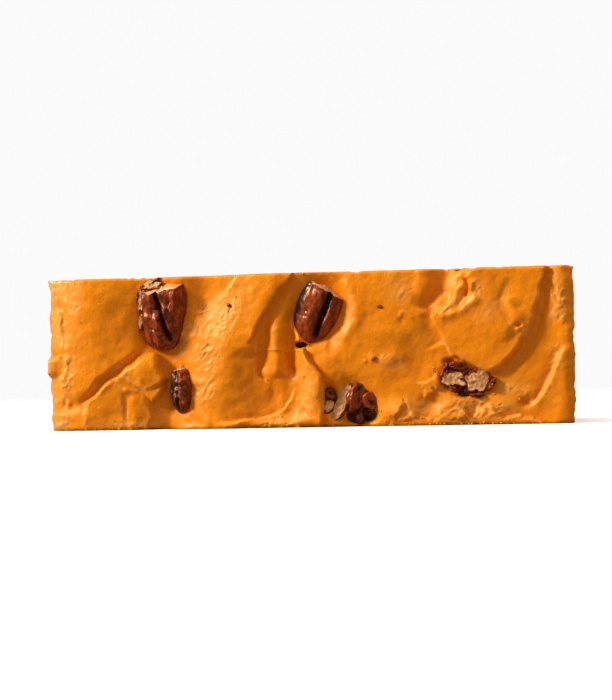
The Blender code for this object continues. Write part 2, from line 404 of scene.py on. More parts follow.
@dataclass
class PouredTop:
    """The folds, lips, flakes and hollows of the poured top, region by region, in their order."""

    broad_forms: tuple[Form, ...] = (
        Fold([(0, 42), (0, -4)], (5.0,), (-1.5,), run_in=0), Mound((11, 26), (9, 17), 1.9),
        Mound((24, 27), (8, 9), -1.4),
        Fold(
            [(33.4, 24), (30.9, 14), (29.8, 6), (29.4, -4)], (4.6,), (-1.0, -2.4, -3.0, -3.0), run_in=0.08,
        ),
        Mound((34, 37), (6, 6), 0.9), Mound((39.2, 31.8), (4.2, 5.0), -1.7), Mound((82, 25), (17, 15), 1.5),
        Mound((92, 8), (16, 6), 0.3),
    )
    left_rim: tuple[Form, ...] = (
        Fold([(0, 40), (0, -2)], (1.2,), (-1.3,), run_in=0),
        Fold([(2.2, 34), (3.4, 27), (4.6, 19.5)], (0.55,), (-0.45,)),
        Fold([(4.6, 37), (5.6, 34), (6.8, 31.5)], (0.35,), (-0.2,)),
        Fold([(3.8, 19), (3.0, 13), (4.5, 7)], (1.3,), (0.5,)),
        Fold([(3.1, 18.4), (3.2, 16), (2.6, 13.2)], (0.6,), (-0.5,)),
        Flake([(-4, 13.2), (-4, 18.9), (1.8, 18.9), (2.9, 17.6), (2.8, 14.8), (1.9, 13.2)], -0.35, 1.5),
        Mound((3.5, 6.6), (0.6, 0.9), -0.5), Mound((4.4, 6.8), (0.7, 0.9), 0.4),
        Wrinkles([(1.6, 40), (2.2, 28), (2.8, 19)], 2.3, 0.30, 1.45, 31, (3.6, 1.2), 0.75),
        Wrinkles([(2.8, 14), (2.6, 8), (2.4, -2)], 2.3, 0.30, 1.35, 36, (3.0, 1.1), 0.75),
        Wrinkles([(4.4, 20), (4.6, 15), (4.2, 10)], 1.4, 0.30, 1.2, 37, (1.8, 0.8), 0.7),
        Wrinkles([(6, 37), (6.8, 30), (6.6, 22), (5.4, 12)], 1.9, 0.13, 0.95, 46, (2.6, 0.6), 0.3),
    )
    left_flakes: tuple[Form, ...] = (
        Lip(
            [(5.6, 5.0), (9.2, 8.0), (13.8, 12.6), (18.6, 16.6), (25, 21)], 0.5, 1.6, 9, 3.0, 1.1,
            run_in=0.2,
        ),
        Flake(
            [(17, 11), (25.1, 10.4), (25, 6), (26.3, 3.6), (25, 0.6), (24.5, -2), (17, -2)], -0.3, 1.1,
            slope=(-0.2, 0.02),
        ),
        Flake([(23, 11), (25.4, 7.8), (26.2, 6.4), (28, 8.3), (30, 11.5)], 0.1, 0.9),
        Flake(
            [(8.3, -2), (8.6, 3), (10, 7.3), (13.5, 10.3), (17, 13.2), (19.8, 10.8), (20.2, 5), (20, -2)],
            0.45, 0.9, slope=(-0.07, 0.02), ragged=0.1,
        ),
        Fold([(8.5, -1), (8.9, 3.3), (10.3, 7.1), (13.4, 9.8), (17, 12.8)], (0.5,), (0.3,)),
        Flake(
            [(17.7, 13.4), (20.3, 15.6), (24, 18.3), (27, 19.4), (28.8, 18.3), (28.8, 15.5)]
            + [(30.3, 12.5), (29, 10.8), (25, 9.6), (22, 9.9), (19.5, 11.2)],
            0.8,
            1.3,
            slope=(0.03, 0.06),
            ragged=0.1,
        ),
        Fold([(18.4, 13.4), (21, 15.6), (24, 17.9)], (0.6,), (0.3,)),
        Fold([(22, 12), (25, 15.5), (28, 17)], (2.2,), (0.5,)),
        Fold(
            [(3, 4.5), (8, 7.6), (14, 12.0), (20, 16.6), (25, 20)], (1.2,), (-0.5, -0.5, -0.1, -0.1, -0.8),
        ),
        Fold([(20.4, 9.5), (19.4, 5.5), (20.2, 1)], (1.1,), (-0.6,)),
    )
    broad_swirl: tuple[Form, ...] = (
        Fold(
            [(62, 42), (55.4, 33.5), (50.4, 26), (47.6, 18), (45.0, 10), (42.8, -2)],
            (10, 10, 9.5, 9, 8.5, 8), (2.8, 3.0, 3.2, 3.1, 2.5, 2.1), run_in=0,
        ),
        Lip([(49.5, 39), (46, 34.6), (43, 31.4), (40, 29.4), (36.5, 28.6)], 0.3, 0.6, 3, 5, softness=0.4),
        Mound((40, 35), (5, 4), -0.6),
        Fold([(37.5, 12), (36.8, 6), (36.5, 0)], (2.5,), (-0.6,)),
        Wrinkles([(52, 37), (47, 31), (43, 25), (40.5, 18), (39.5, 12), (37.5, 5)], 3.4, 0.26, 0.85, 21),
        Wrinkles([(44, 33.5), (41, 31.2), (38, 30)], 1.0, 0.2, 0.75, 26),
        Wrinkles([(36, 27), (33.5, 21), (33, 17.5)], 1.8, 0.14, 0.75, 66),
    )
    trough: tuple[Form, ...] = (
        Lip(
            [(50.9, 20.6), (53.8, 26), (56.5, 30.2), (59.8, 34.5), (63.4, 39)], 0.8, 1.2, 4.0, 2.6,
            curl=0.5, run_in=0.12,
        ),
        Fold(
            [(63, 37), (58.6, 31), (56.0, 26), (54.5, 20), (54.4, 14.5), (56, 11.5)], (1.6,),
            (-0.6, -0.9, -1.3, -1.7, -1.5, -0.7),
        ),
        Lip([(55.8, 11.0), (53.6, 13.2), (52.9, 17), (53.5, 21.5)], 0.3, 1.0, 1.5, 1.6, softness=0.25),
        Fold([(63, 39), (60, 32.5), (58, 26)], (2.6,), (-0.5, -0.7, -0.4)),
        Fold([(59.2, 26), (58.4, 20), (58.2, 12)], (2.0,), (0.5, 1.3, 1.1)),
        Lip([(54.8, 19.3), (57, 18.9), (60.2, 18.2)], 0.25, 0.25, 2.2, 2.2, softness=0.2),
        Fold([(61.8, 30), (61.0, 21), (61.1, 15.5), (62.3, 11.5)], (1.1,), (-0.4, -1.2, -1.9, -1.4)),
        Fold([(50.5, 20), (51, 12.5), (54.5, 7.8), (59, 8)], (3.8,), (-1.0,)),
    )
    narrow_swirl: tuple[Form, ...] = (
        Fold(
            [(62.4, 27), (63.2, 22.5), (65.6, 18.2), (68.0, 13.5), (69.4, 8.5), (69.4, 4), (69, -3)],
            (0.8, 1.5, 2.8, 4.2, 5.2, 5.8, 5.8), (0.6, 1.6, 2.6, 3.2, 3.4, 3.2, 3.0),
        ),
        Lip(
            [(68.6, -2), (69.4, 5), (69.6, 9), (68.4, 12.8), (65.8, 17), (63.2, 22.4)], 0.3, 2.8, 2, 5.0,
            softness=0.4, curl=0.35,
        ),
        Fold([(67, 1.2), (58, 1.2), (50, 0.8), (42, 0.4)], (1.4,), (1.0,)),
        Lip([(62.3, 10.5), (61.6, 7.8), (59.5, 5.2), (56, 3.4), (50, 2.0), (43, 1.6)], 0.3, 0.3, 2, 2),
        Wrinkles([(64, 16), (66, 11), (66, 6), (63, 2)], 2.0, 0.16, 1.1, 81),
        Wrinkles([(64, 1.2), (58, 1.4), (52, 1.0)], 1.4, 0.25, 0.15, 86),
    )
    middle_field: tuple[Form, ...] = (
        Mound((68.6, 28), (7.2, 9.2), -2.3, turn=-0.25, power=4), Mound((63.2, 30), (2.6, 9), -1.0),
        Fold([(73, 20.2), (77.4, 25.5), (77.6, 32), (74.5, 37)], (1.6,), (0.5,)),
        Fold([(62.4, 22.2), (66, 19.3), (71.5, 20)], (1.2,), (0.6,)),
        Mound((63.9, 20.2), (1.3, 0.8), -4.2, power=4),
        Fold([(94.4, 42), (94.8, 32.2)], (1.7,), (0.6,), run_in=0, power=3),
        Fold([(100.6, 41), (99.2, 34.5), (96.8, 30.5), (94.8, 27)], (2.5,), (-1.5,), run_in=0.1),
        Fold([(95.0, 28), (96.2, 23), (98.2, 19)], (1.9,), (-0.8,)),
        Fold([(88.6, 26.0), (89.4, 27.8), (91.9, 25.6)], (0.35,), (0.22,)),
        Fold([(88.7, 26.4), (89.2, 24.4)], (0.4,), (-0.2,)), Mound((86, 27), (4.5, 5.5), 0.35),
        Mound((92.5, 16), (3.5, 6.0), -0.45), Mound((86.6, 16.6), (2.6, 1.6), 0.6, turn=0.4),
        Mound((90.2, 2.4), (3.6, 2.6), 0.9, turn=0.2), Mound((98.6, 2.6), (2.6, 2.0), 0.8, turn=-0.3),
        Mound((79.5, 33.5), (4.0, 2.6), 0.35, turn=0.3), Mound((88.0, 22.5), (3.4, 2.2), 0.4, turn=-0.4),
        Mound((84.0, 28.0), (2.6, 3.4), -0.35), Mound((93.5, 12.5), (2.2, 3.0), -0.45, turn=0.5),
        Mound((84.6, 3.2), (1.6, 2.2), 0.5), Mound((79, 23), (2.4, 3.4), -0.2),
        Mound((81.7, 16.6), (0.9, 1.1), 0.35), Mound((80, 15.9), (0.35, 0.4), 0.3),
        Wrinkles([(85, 36), (88.5, 33.5), (86.5, 30)], 2.4, 0.2, 0.55, 71),
        Wrinkles([(83, 17), (86.5, 15.5), (89, 16.5)], 1.6, 0.12, 0.35, 76),
        Wrinkles([(75.5, 34), (76.6, 29), (75, 24)], 1.0, 0.14, 1.2, 78),
    )
    big_flake: tuple[Form, ...] = (
        Flake(
            [(96, 27), (99.4, 29.3), (102.2, 33.3), (104.6, 35.0), (106, 40), (124.6, 40), (123.6, 35)]
            + [(122, 30), (120.4, 25), (119.8, 22.5), (118.2, 20.2), (117, 17.8), (113, 14)]
            + [(109.5, 11.8), (106, 14), (102, 16.2), (100, 16.8), (99.3, 18.8), (98, 22), (96.6, 25)],
            1.3,
            0.75,
            slope=(0.05, -0.03),
            ragged=0.1,
        ),
        Fold([(105, 40), (109, 30), (113, 25), (117, 21.5)], (5, 6, 5, 3), (1.2,)),
        Lip([(116.5, 21.5), (113.6, 26.4), (113.4, 31), (115, 36)], -0.2, 0.6, 3, 4, softness=1.4),
        Fold([(99.8, 27.8), (102.2, 30.4), (103.2, 34)], (1.1,), (0.6,)),
        Fold([(105.2, 35.5), (105.3, 32.4), (104, 30.2)], (0.6,), (-1.3,)),
        Fold([(106.6, 34.5), (106.3, 31.6)], (0.5,), (0.5,)),
        Fold([(97.5, 26.2), (102, 27), (106, 29.4), (107.8, 32)], (1.1,), (0.7,)),
        Fold([(114.8, 31), (116.5, 26.8), (118.6, 22.8)], (1.4,), (0.5,)),
        Mound((117.4, 23.8), (0.7, 0.5), -0.9),
        Mound((117.1, 22.6), (0.5, 0.5), 0.4),
        Fold(
            [(125, 40), (123.6, 31), (121.8, 25), (120.8, 20.5), (117, 14.5), (112, 10.8)], (1.3,),
            (-0.7, -0.7, -0.7, -0.8, -0.7, -0.3),
        ),
        Lip(
            [(109.5, 11.8), (113, 14), (117, 17.8), (118.2, 20.2), (119.8, 22.5), (122, 30), (124.6, 40)],
            0.25, 0.2, 1.2, 1.2, curl=0.35, run_in=0.05,
        ),
        Wrinkles([(98, 26.5), (101, 29.5), (104, 33)], 1.6, 0.3, 0.7, 41),
        Wrinkles([(103, 28), (106, 30), (108, 33), (107, 36)], 1.4, 0.22, 0.9, 42),
        Wrinkles([(107, 24), (110, 27), (112, 30)], 1.6, 0.12, 0.9, 44),
    )
    right_rim: tuple[Form, ...] = (
        Fold([(128, 40), (127.6, 30), (128.4, 20), (127.6, 10), (126.5, -2)], (2.8,), (0.9,), run_in=0),
        Lip(
            [(127.8, 19), (125.8, 15), (124, 10.5), (121.8, 6.2), (119.3, 3.6)], 0.8, 0.9, 4, 3.0,
            softness=0.8, curl=0.1,
        ),
        Fold([(125.5, 34), (126.6, 30), (128.5, 27.5)], (0.5,), (-0.45,)),
        Mound((118.5, 5.2), (1.4, 1.2), -1.1),
        Fold([(130, 40), (130, -2)], (1.0,), (-0.8,), run_in=0),
        Wrinkles([(127.5, 37), (127, 30), (126.5, 24)], 2.0, 0.3, 1.3, 61),
        Wrinkles([(127, 20), (125, 12), (121, 5)], 1.4, 0.25, 1.1, 64),
        Wrinkles([(112, 8), (116, 9), (120, 8)], 2.0, 0.16, 0.2, 68),
    )
    sockets: tuple[Form, ...] = (
        Mound((104.3, 10.6), (6.9, 3.9), -1.2, turn=-0.12, power=4),
        Mound((103.6, 8.0), (1.6, 1.2), -2.2, power=4), Mound((100.2, 15.4), (1.4, 0.8), -1.3, power=4),
        Mound((75.8, 5.4), (7.2, 5.8), -2.1, turn=-0.35, power=4),
        Mound((78.6, 2.6), (3.6, 1.6), -2.6, power=4), Mound((71.0, 7.6), (1.9, 3.0), -1.6, power=4),
        Mound((33.6, 9.8), (3.0, 6.0), -0.7, turn=-0.1, power=4),
        Mound((29.2, 28), (6.6, 9.4), -1.4, turn=-0.2, power=4), Mound((25.6, 22.0), (2.8, 3.4), -1.3),
    )
    bottom_flakes: tuple[Form, ...] = (
        Mound((88.3, 3.8), (3.6, 3.2), 1.2),
        Mound((95.5, 5.0), (3.0, 2.4), -0.7),
        Mound((101.5, 5.0), (3.4, 2.2), 0.9),
        Mound((107.5, 4.4), (2.6, 2.2), -0.5),
        Mound((112.5, 4.6), (4.2, 2.4), 0.6),
        Flake(
            [(91.9, 11.2), (95, 10.9), (97.6, 13), (98.4, 9.4), (96.2, 8.8), (94.8, 5.6), (93.4, 8.6)], 0.9,
            0.6, slope=(0.16, -0.05), ragged=0.4,
        ),
        Flake([(86.0, 1), (87.8, 4.8), (89.7, 7.0), (91.4, 3.7), (93.4, 1)], 1.1, 0.8, (0.12, -0.1), 0.4),
        Flake([(97, 1), (98.8, 4.4), (102, 5.8), (104, 3.4), (104.6, 1)], 1.1, 0.7, (0.1, -0.1), 0.4),
        Flake([(105, 1), (106.4, 4.8), (110.2, 5.6), (112.6, 1.2)], 0.8, 0.7, (0.1, -0.1), 0.4),
        Flake(
            [(84, -2), (86, 1.6), (94, 2.0), (101, 1.7), (110, 2.4), (120, 1.6), (125, -2)], 0.9, 0.5,
            ragged=0.5,
        ),
        Wrinkles([(84, 3), (95, 4), (108, 4), (118, 3)], 2.4, 0.26, 0.6, 51, (1.6, 0.9)),
        Wrinkles([(30, 1.5), (20, 1.2), (10, 1.2)], 1.2, 0.14, 0.2, 56),
    )

    grain: tuple[tuple[float, float, int], ...] = (
        (4.2, 0.17, 91), (1.9, 0.09, 92), (0.95, 0.032, 93), (0.55, 0.016, 94),
    )

    def relief(self, x: np.ndarray, z: np.ndarray) -> Relief:
        """Forms the poured top.

        Args:
            x: places along the slice.
            z: places up the slice.

        Returns:
            The finished relief.
        """
        relief = Relief(x, z)
        regions = (
            self.broad_forms, self.left_rim, self.left_flakes, self.broad_swirl, self.trough,
            self.narrow_swirl, self.middle_field, self.big_flake, self.right_rim, self.sockets,
            self.bottom_flakes,
        )
        for region in regions:
            for form in region:
                form.form(relief)
        for size, height, seed in self.grain:
            relief.height += height * lumps(x, z, (size, size), seed)
        return relief


# ---------------------------------------------------------------- finishes


class Slot(Enum):
    """The record's material slots."""

    FUDGE = "fudge"
    PECAN = "pecan"


class Nodes:
    """Short ways to place and join shader nodes in one tree."""

    def __init__(self, tree: bpy.types.NodeTree) -> None:
        """Keeps the tree to work in."""
        self.tree = tree

    def add(self, kind: str, values: dict | None = None, **settings: object) -> bpy.types.Node:
        """Places a node.

        Args:
            kind: the node's type name.
            values: socket names or numbers, each with a constant or with an output to join to it.
            settings: the node's own properties.

        Returns:
            The node.
        """
        node = self.tree.nodes.new(kind)
        for name, value in settings.items():
            setattr(node, name, value)
        for socket, value in (values or {}).items():
            if isinstance(value, Socket):
                self.tree.links.new(value, node.inputs[socket])
            else:
                node.inputs[socket].default_value = value
        return node

    def object_place(self) -> Socket:
        """The place on the object, in metres."""
        return self.add("ShaderNodeTexCoord").outputs["Object"]

    def stretched(self, stretch: Triple) -> Socket:
        """The place on the object with each axis scaled."""
        mapping = self.add("ShaderNodeMapping", {"Vector": self.object_place(), "Scale": stretch})
        return mapping.outputs["Vector"]

    def noise(self, scale: float, detail: float = 2.0, place: Socket | None = None) -> Socket:
        """A noise texture's value, read at the place on the object unless another place is given."""
        values = {"Vector": place or self.object_place(), "Scale": scale, "Detail": detail}
        return self.add("ShaderNodeTexNoise", values).outputs["Fac"]

    def ramp(self, value: Socket, start: float, end: float, low: float = 0.0, high: float = 1.0) -> Socket:
        """Maps a value from start..end to low..high, clamped."""
        values = {"Value": value, "From Min": start, "From Max": end, "To Min": low, "To Max": high}
        return self.add("ShaderNodeMapRange", values).outputs["Result"]

    def math(self, operation: str, a: Socket | float, b: Socket | float) -> Socket:
        """A Math node's output."""
        return self.add("ShaderNodeMath", {0: a, 1: b}, operation=operation).outputs["Value"]

    def mix(self, share: Socket | float, a: Socket | Color, b: Socket | Color) -> Socket:
        """Mixes two colours.

        Args:
            share: the share of b.
            a: the first colour.
            b: the second colour.

        Returns:
            The mixed colour.
        """
        node = self.tree.nodes.new("ShaderNodeMix")
        node.data_type = "RGBA"
        colors = [socket for socket in node.inputs if socket.type == "RGBA"]
        for socket, value in ((node.inputs[0], share), (colors[0], a), (colors[1], b)):
            if isinstance(value, Socket):
                self.tree.links.new(value, socket)
            else:
                socket.default_value = value
        return next(socket for socket in node.outputs if socket.type == "RGBA")

    def share(self, value: Socket, share: Socket | float) -> Socket:
        """This share of a value."""
        return self.math("MULTIPLY", value, share)

    def attribute(self, name: str) -> Socket:
        """A number stored on the mesh."""
        return self.add("ShaderNodeAttribute", attribute_name=name).outputs["Fac"]

    def scatter(self, specks: bpy.types.NodeTree, scale: float, share: float) -> bpy.types.Node:
        """Scatters specks: how small they are, and the share of places that hold one."""
        return self.add("ShaderNodeGroup", {"Scale": scale, "Share": share}, node_tree=specks)

    def bump(self, height: Socket, distance: float, strength: float, normal: Socket | None = None) -> Socket:
        """Bumps the surface.

        Args:
            height: the height, mostly from 0 to 1.
            distance: how far a height of 1 stands out, in metres.
            strength: how strongly it shows.
            normal: the normal to start from, or nothing for the mesh's own.

        Returns:
            The bumped normal.
        """
        values = {"Height": height, "Distance": distance, "Strength": strength}
        if normal is not None:
            values["Normal"] = normal
        return self.add("ShaderNodeBump", values).outputs["Normal"]


def speckle_group() -> bpy.types.NodeTree:
    """Builds the group that scatters small specks: it puts out a mask and a pitted height.

    Returns:
        The node group, with the inputs Scale and Share.
    """
    group = bpy.data.node_groups.new("Specks", "ShaderNodeTree")
    for name, start in (("Scale", 700.0), ("Share", 0.1)):
        socket = group.interface.new_socket(name=name, in_out="INPUT", socket_type="NodeSocketFloat")
        socket.default_value = start
    for name in ("Mask", "Height"):
        group.interface.new_socket(name=name, in_out="OUTPUT", socket_type="NodeSocketFloat")
    nodes = Nodes(group)
    given = nodes.add("NodeGroupInput")
    values = {"Vector": nodes.object_place(), "Scale": given.outputs["Scale"]}
    cells = nodes.add("ShaderNodeTexVoronoi", values, feature="F1")
    picked = nodes.add("ShaderNodeSeparateColor", {"Color": cells.outputs["Color"]}).outputs["Red"]
    chosen = nodes.math("LESS_THAN", picked, given.outputs["Share"])
    near = nodes.ramp(cells.outputs["Distance"], 0.14, 0.36, 1.0, 0.0)
    mask = nodes.math("MULTIPLY", chosen, near)
    nodes.add("NodeGroupOutput", {"Mask": mask, "Height": nodes.math("SUBTRACT", 1.0, mask)})
    return group


def new_finish(name: str) -> tuple[bpy.types.Material, Nodes]:
    """Makes an empty finish.

    Args:
        name: its name.

    Returns:
        The material, and short ways to its nodes.
    """
    material = bpy.data.materials.new(name)
    material.use_nodes = True
    return material, Nodes(material.node_tree)


def dress(material: bpy.types.Material, outputs: dict[str, Socket], constants: dict[str, object]) -> None:
    """Joins a finish to its shader.

    Args:
        material: the finish.
        outputs: what changes over the surface, by the name of the shader's socket.
        constants: what is the same all over.
    """
    shader = material.node_tree.nodes["Principled BSDF"]
    for name, output in outputs.items():
        material.node_tree.links.new(output, shader.inputs[name])
    for name, value in constants.items():
        shader.inputs[name].default_value = value


@dataclass(frozen=True)
class FudgeFinish:
    """Waxy orange-tan fudge: satin where it was poured, duller and dragged where it was cut.

    A noise is a scale and its detail, specks are a scale and a share, and a bump is a distance in
    metres and a strength.
    """

    light: Color = (0.93, 0.262, 0.001, 1.0)
    # Deeper orange: random mottle, grain and crumbs, and painted shade in the poured top's hollows.
    deep: Color = (0.80, 0.165, 0.0006, 1.0)
    # Pale: the ripped fudge's own colour, and painted sheen and highlight on wrinkles, rims and the tab.
    torn_and_sheen: Color = (0.98, 0.53, 0.14, 1.0)
    cut: Color = (0.84, 0.26, 0.006, 1.0)
    speck: Color = (0.22, 0.065, 0.015, 1.0)
    highlight: Color = (1.0, 0.82, 0.40, 1.0)
    poured_roughness: float = 0.40
    cut_roughness: float = 0.62
    torn_gloss: float = 0.16
    refraction: float = 1.42
    glow: float = 0.15
    glow_radius: Triple = (1.0, 0.5, 0.08)
    glow_depth: float = 0.0010
    knife_strokes: Triple = (700.0, 60.0, 60.0)
    wall_strokes: Triple = (60.0, 700.0, 70.0)
    stroke_detail: float = 5.0
    mottle_noise: Pair = (140.0, 4.0)
    grain_noise: Pair = (1700.0, 3.0)
    crumb_noise: Pair = (330.0, 7.0)
    satin_noise: Pair = (420.0, 3.0)
    satin_change: Pair = (-0.13, 0.10)
    fine_noise: Pair = (3000.0, 3.0)
    broad_noise: Pair = (800.0, 3.0)
    dots: Pair = (620.0, 0.05)
    dots_shown: Pair = (0.3, 0.7)
    pores: Pair = (1500.0, 0.07)
    pits: Pair = (360.0, 0.16)
    fine_bump: Pair = (0.00012, 0.7)
    broad_bump: Pair = (0.00015, 0.6)
    pore_bump: Pair = (0.00011, 0.6)
    pit_bump: Pair = (-0.0004, 0.8)
    crumb_bump: Pair = (0.0011, 0.9)
    drag_bump: Pair = (0.00016, 0.8)

    def make(self, specks: bpy.types.NodeTree) -> bpy.types.Material:
        """Makes the material.

        Args:
            specks: the group that scatters specks.

        Returns:
            The material.
        """
        material, nodes = new_finish("Fudge")
        cut = nodes.attribute("cut")
        on_knife = nodes.share(cut, nodes.attribute("knife"))
        on_wall = nodes.share(cut, nodes.attribute("wall"))
        knife_strokes = nodes.noise(1.0, self.stroke_detail, nodes.stretched(self.knife_strokes))
        wall_strokes = nodes.noise(1.0, self.stroke_detail, nodes.stretched(self.wall_strokes))
        drag = nodes.math("ADD", nodes.share(knife_strokes, on_knife), nodes.share(wall_strokes, on_wall))
        crumb = nodes.noise(*self.crumb_noise)
        color = nodes.mix(cut, self.poured_color(nodes), self.cut_color(nodes, crumb, drag))
        dots = nodes.scatter(specks, *self.dots)
        shown = nodes.share(dots.outputs["Mask"], nodes.ramp(cut, 0.0, 1.0, *self.dots_shown))
        color = nodes.mix(shown, color, self.speck)
        rough = nodes.ramp(nodes.noise(*self.satin_noise), 0.35, 0.65, *self.satin_change)
        satin = nodes.ramp(cut, 0.0, 1.0, self.poured_roughness, self.cut_roughness)
        rough = nodes.math("ADD", rough, satin)
        rough = nodes.math("SUBTRACT", rough, nodes.share(nodes.attribute("torn_and_sheen"), self.torn_gloss))
        pores, pits = nodes.scatter(specks, *self.pores), nodes.scatter(specks, *self.pits)
        normal = nodes.bump(nodes.noise(*self.fine_noise), *self.fine_bump)
        normal = nodes.bump(nodes.noise(*self.broad_noise), *self.broad_bump, normal)
        normal = nodes.bump(pores.outputs["Height"], *self.pore_bump, normal)
        normal = nodes.bump(nodes.share(pits.outputs["Mask"], cut), *self.pit_bump, normal)
        normal = nodes.bump(nodes.share(crumb, on_knife), *self.crumb_bump, normal)
        normal = nodes.bump(drag, *self.drag_bump, normal)
        constants = {
            "IOR": self.refraction, "Specular Tint": self.highlight, "Subsurface Weight": self.glow,
            "Subsurface Radius": self.glow_radius, "Subsurface Scale": self.glow_depth,
        }
        dress(material, {"Base Color": color, "Roughness": rough, "Normal": normal}, constants)
        return material

    def poured_color(self, nodes: Nodes) -> Socket:
        """The poured top's colour: mottled and grainy, darkened in its hollows as painted shade, and pale
        where it is ripped and where painted sheen and highlight lie.

        Args:
            nodes: the material's nodes.

        Returns:
            The colour.
        """
        mottled = nodes.ramp(nodes.noise(*self.mottle_noise), 0.35, 0.65)
        color = nodes.mix(nodes.share(mottled, 0.22), self.light, self.deep)
        # Painted shade: the hollows are darkened towards the deep colour.
        color = nodes.mix(nodes.share(nodes.attribute("hollow"), 0.25), color, self.deep)
        # Pale where ripped, with painted sheen and highlight on wrinkles, rims and the tab.
        color = nodes.mix(nodes.share(nodes.attribute("torn_and_sheen"), 0.85), color, self.torn_and_sheen)
        grain = nodes.ramp(nodes.noise(*self.grain_noise), 0.3, 0.7)
        return nodes.mix(nodes.share(grain, 0.22), color, self.deep)

    def cut_color(self, nodes: Nodes, crumb: Socket, drag: Socket) -> Socket:
        """The colour of the cuts and of the faces that the pan shaped.

        Args:
            nodes: the material's nodes.
            crumb: the crumb's height.
            drag: the strokes' height.

        Returns:
            The colour.
        """
        color = nodes.mix(nodes.ramp(crumb, 0.42, 0.66, 0.0, 0.45), self.cut, self.deep)
        return nodes.mix(nodes.ramp(drag, 0.40, 0.66, 0.0, 0.14), color, self.torn_and_sheen)


@dataclass(frozen=True)
class PecanFinish:
    """Glossy red-brown pecan skin, dark in its grooves and cracks as painted shade, and pale where the nut
    is broken.

    A noise is a scale and its detail, and a bump is a distance in metres and a strength.
    """

    skin: Color = (0.45, 0.059, 0.005, 1.0)
    skin_dark: Color = (0.095, 0.012, 0.002, 1.0)
    flesh: Color = (0.94, 0.46, 0.165, 1.0)
    flesh_dark: Color = (0.50, 0.20, 0.055, 1.0)
    # Near black: painted shade in the halves' groove, cracks and left flank, and darker skin on broken
    # pieces.
    groove: Color = (0.016, 0.004, 0.002, 1.0)
    highlight: Color = (1.0, 0.58, 0.33, 1.0)
    skin_roughness: float = 0.30
    flesh_roughness: float = 0.55
    refraction: float = 1.5
    streaks: Triple = (900.0, 900.0, 260.0)
    fibres: Triple = (1500.0, 1500.0, 500.0)
    stroke_detail: float = 4.0
    grain_noise: Pair = (700.0, 4.0)
    gloss_noise: Pair = (500.0, 2.0)
    gloss_change: Pair = (-0.05, 0.1)
    flesh_noise: Pair = (900.0, 4.0)
    fibre_bump: Pair = (0.0001, 0.7)
    flesh_bump: Pair = (0.0004, 0.8)

    def make(self) -> bpy.types.Material:
        """Makes the material.

        Returns:
            The material.
        """
        material, nodes = new_finish("Pecan")
        flesh = nodes.attribute("flesh")
        # How dark the skin is: painted shade in grooves, cracks and a flank; darker skin on broken pieces.
        groove = nodes.ramp(nodes.attribute("groove"), 0.1, 0.75)
        streaks = nodes.noise(1.0, self.stroke_detail, nodes.stretched(self.streaks))
        streaks = nodes.ramp(streaks, 0.32, 0.7)
        skin = nodes.mix(streaks, self.skin_dark, self.skin)
        skin = nodes.mix(groove, skin, self.groove)
        grain = nodes.ramp(nodes.noise(*self.grain_noise), 0.35, 0.68)
        color = nodes.mix(flesh, skin, nodes.mix(grain, self.flesh_dark, self.flesh))
        rough = nodes.ramp(flesh, 0.0, 1.0, self.skin_roughness, self.flesh_roughness)
        gloss = nodes.ramp(nodes.noise(*self.gloss_noise), 0.3, 0.7, *self.gloss_change)
        rough = nodes.math("ADD", rough, gloss)
        fibres = nodes.noise(1.0, self.stroke_detail, nodes.stretched(self.fibres))
        normal = nodes.bump(fibres, *self.fibre_bump)
        normal = nodes.bump(nodes.share(nodes.noise(*self.flesh_noise), flesh), *self.flesh_bump, normal)
        constants = {"IOR": self.refraction, "Specular Tint": self.highlight}
        dress(material, {"Base Color": color, "Roughness": rough, "Normal": normal}, constants)
        return material


# ---------------------------------------------------------------- pieces


def ripple(waves: tuple[Triple, ...], along: float, depth: float, seed: float) -> float:
    """Gentle uneven waves of a flat side.

    Args:
        waves: each wave's height, its length along the side, and its length in depth.
        along: the place along the side.
        depth: the place's depth behind the poured top.
        seed: which waves.

    Returns:
        How far the side stands out there.
    """
    return sum(
        height * noise.noise(Vector((along / length, depth / reach, seed)))
        for height, length, reach in waves
    )


def store(mesh: bpy.types.Mesh, name: str, values: np.ndarray) -> None:
    """Stores a number for each vertex of a mesh."""
    attribute = mesh.attributes.new(name, "FLOAT", "POINT")
    attribute.data.foreach_set("value", np.asarray(values, np.float32))


def finished(name: str, bm: bmesh.types.BMesh, material: bpy.types.Material) -> Piece:
    """Makes a shown piece from a mesh in millimetres.

    Args:
        name: the piece's name.
        bm: its mesh, which is freed.
        material: its finish.

    Returns:
        The object, at the origin, riding on the one body. Nothing of it lies below what it rests on.
    """
    for vert in bm.verts:
        vert.co.z = max(vert.co.z, 0.0)
    bmesh.ops.recalc_face_normals(bm, faces=bm.faces)
    bmesh.ops.scale(bm, vec=(MM, MM, MM), verts=bm.verts)
    mesh = bpy.data.meshes.new(name)
    bm.to_mesh(mesh)
    bm.free()
    mesh.materials.append(material)
    mesh.shade_smooth()
    piece = bpy.data.objects.new(name, mesh)
    bpy.context.scene.collection.objects.link(piece)
    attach(piece, "root")
    return piece


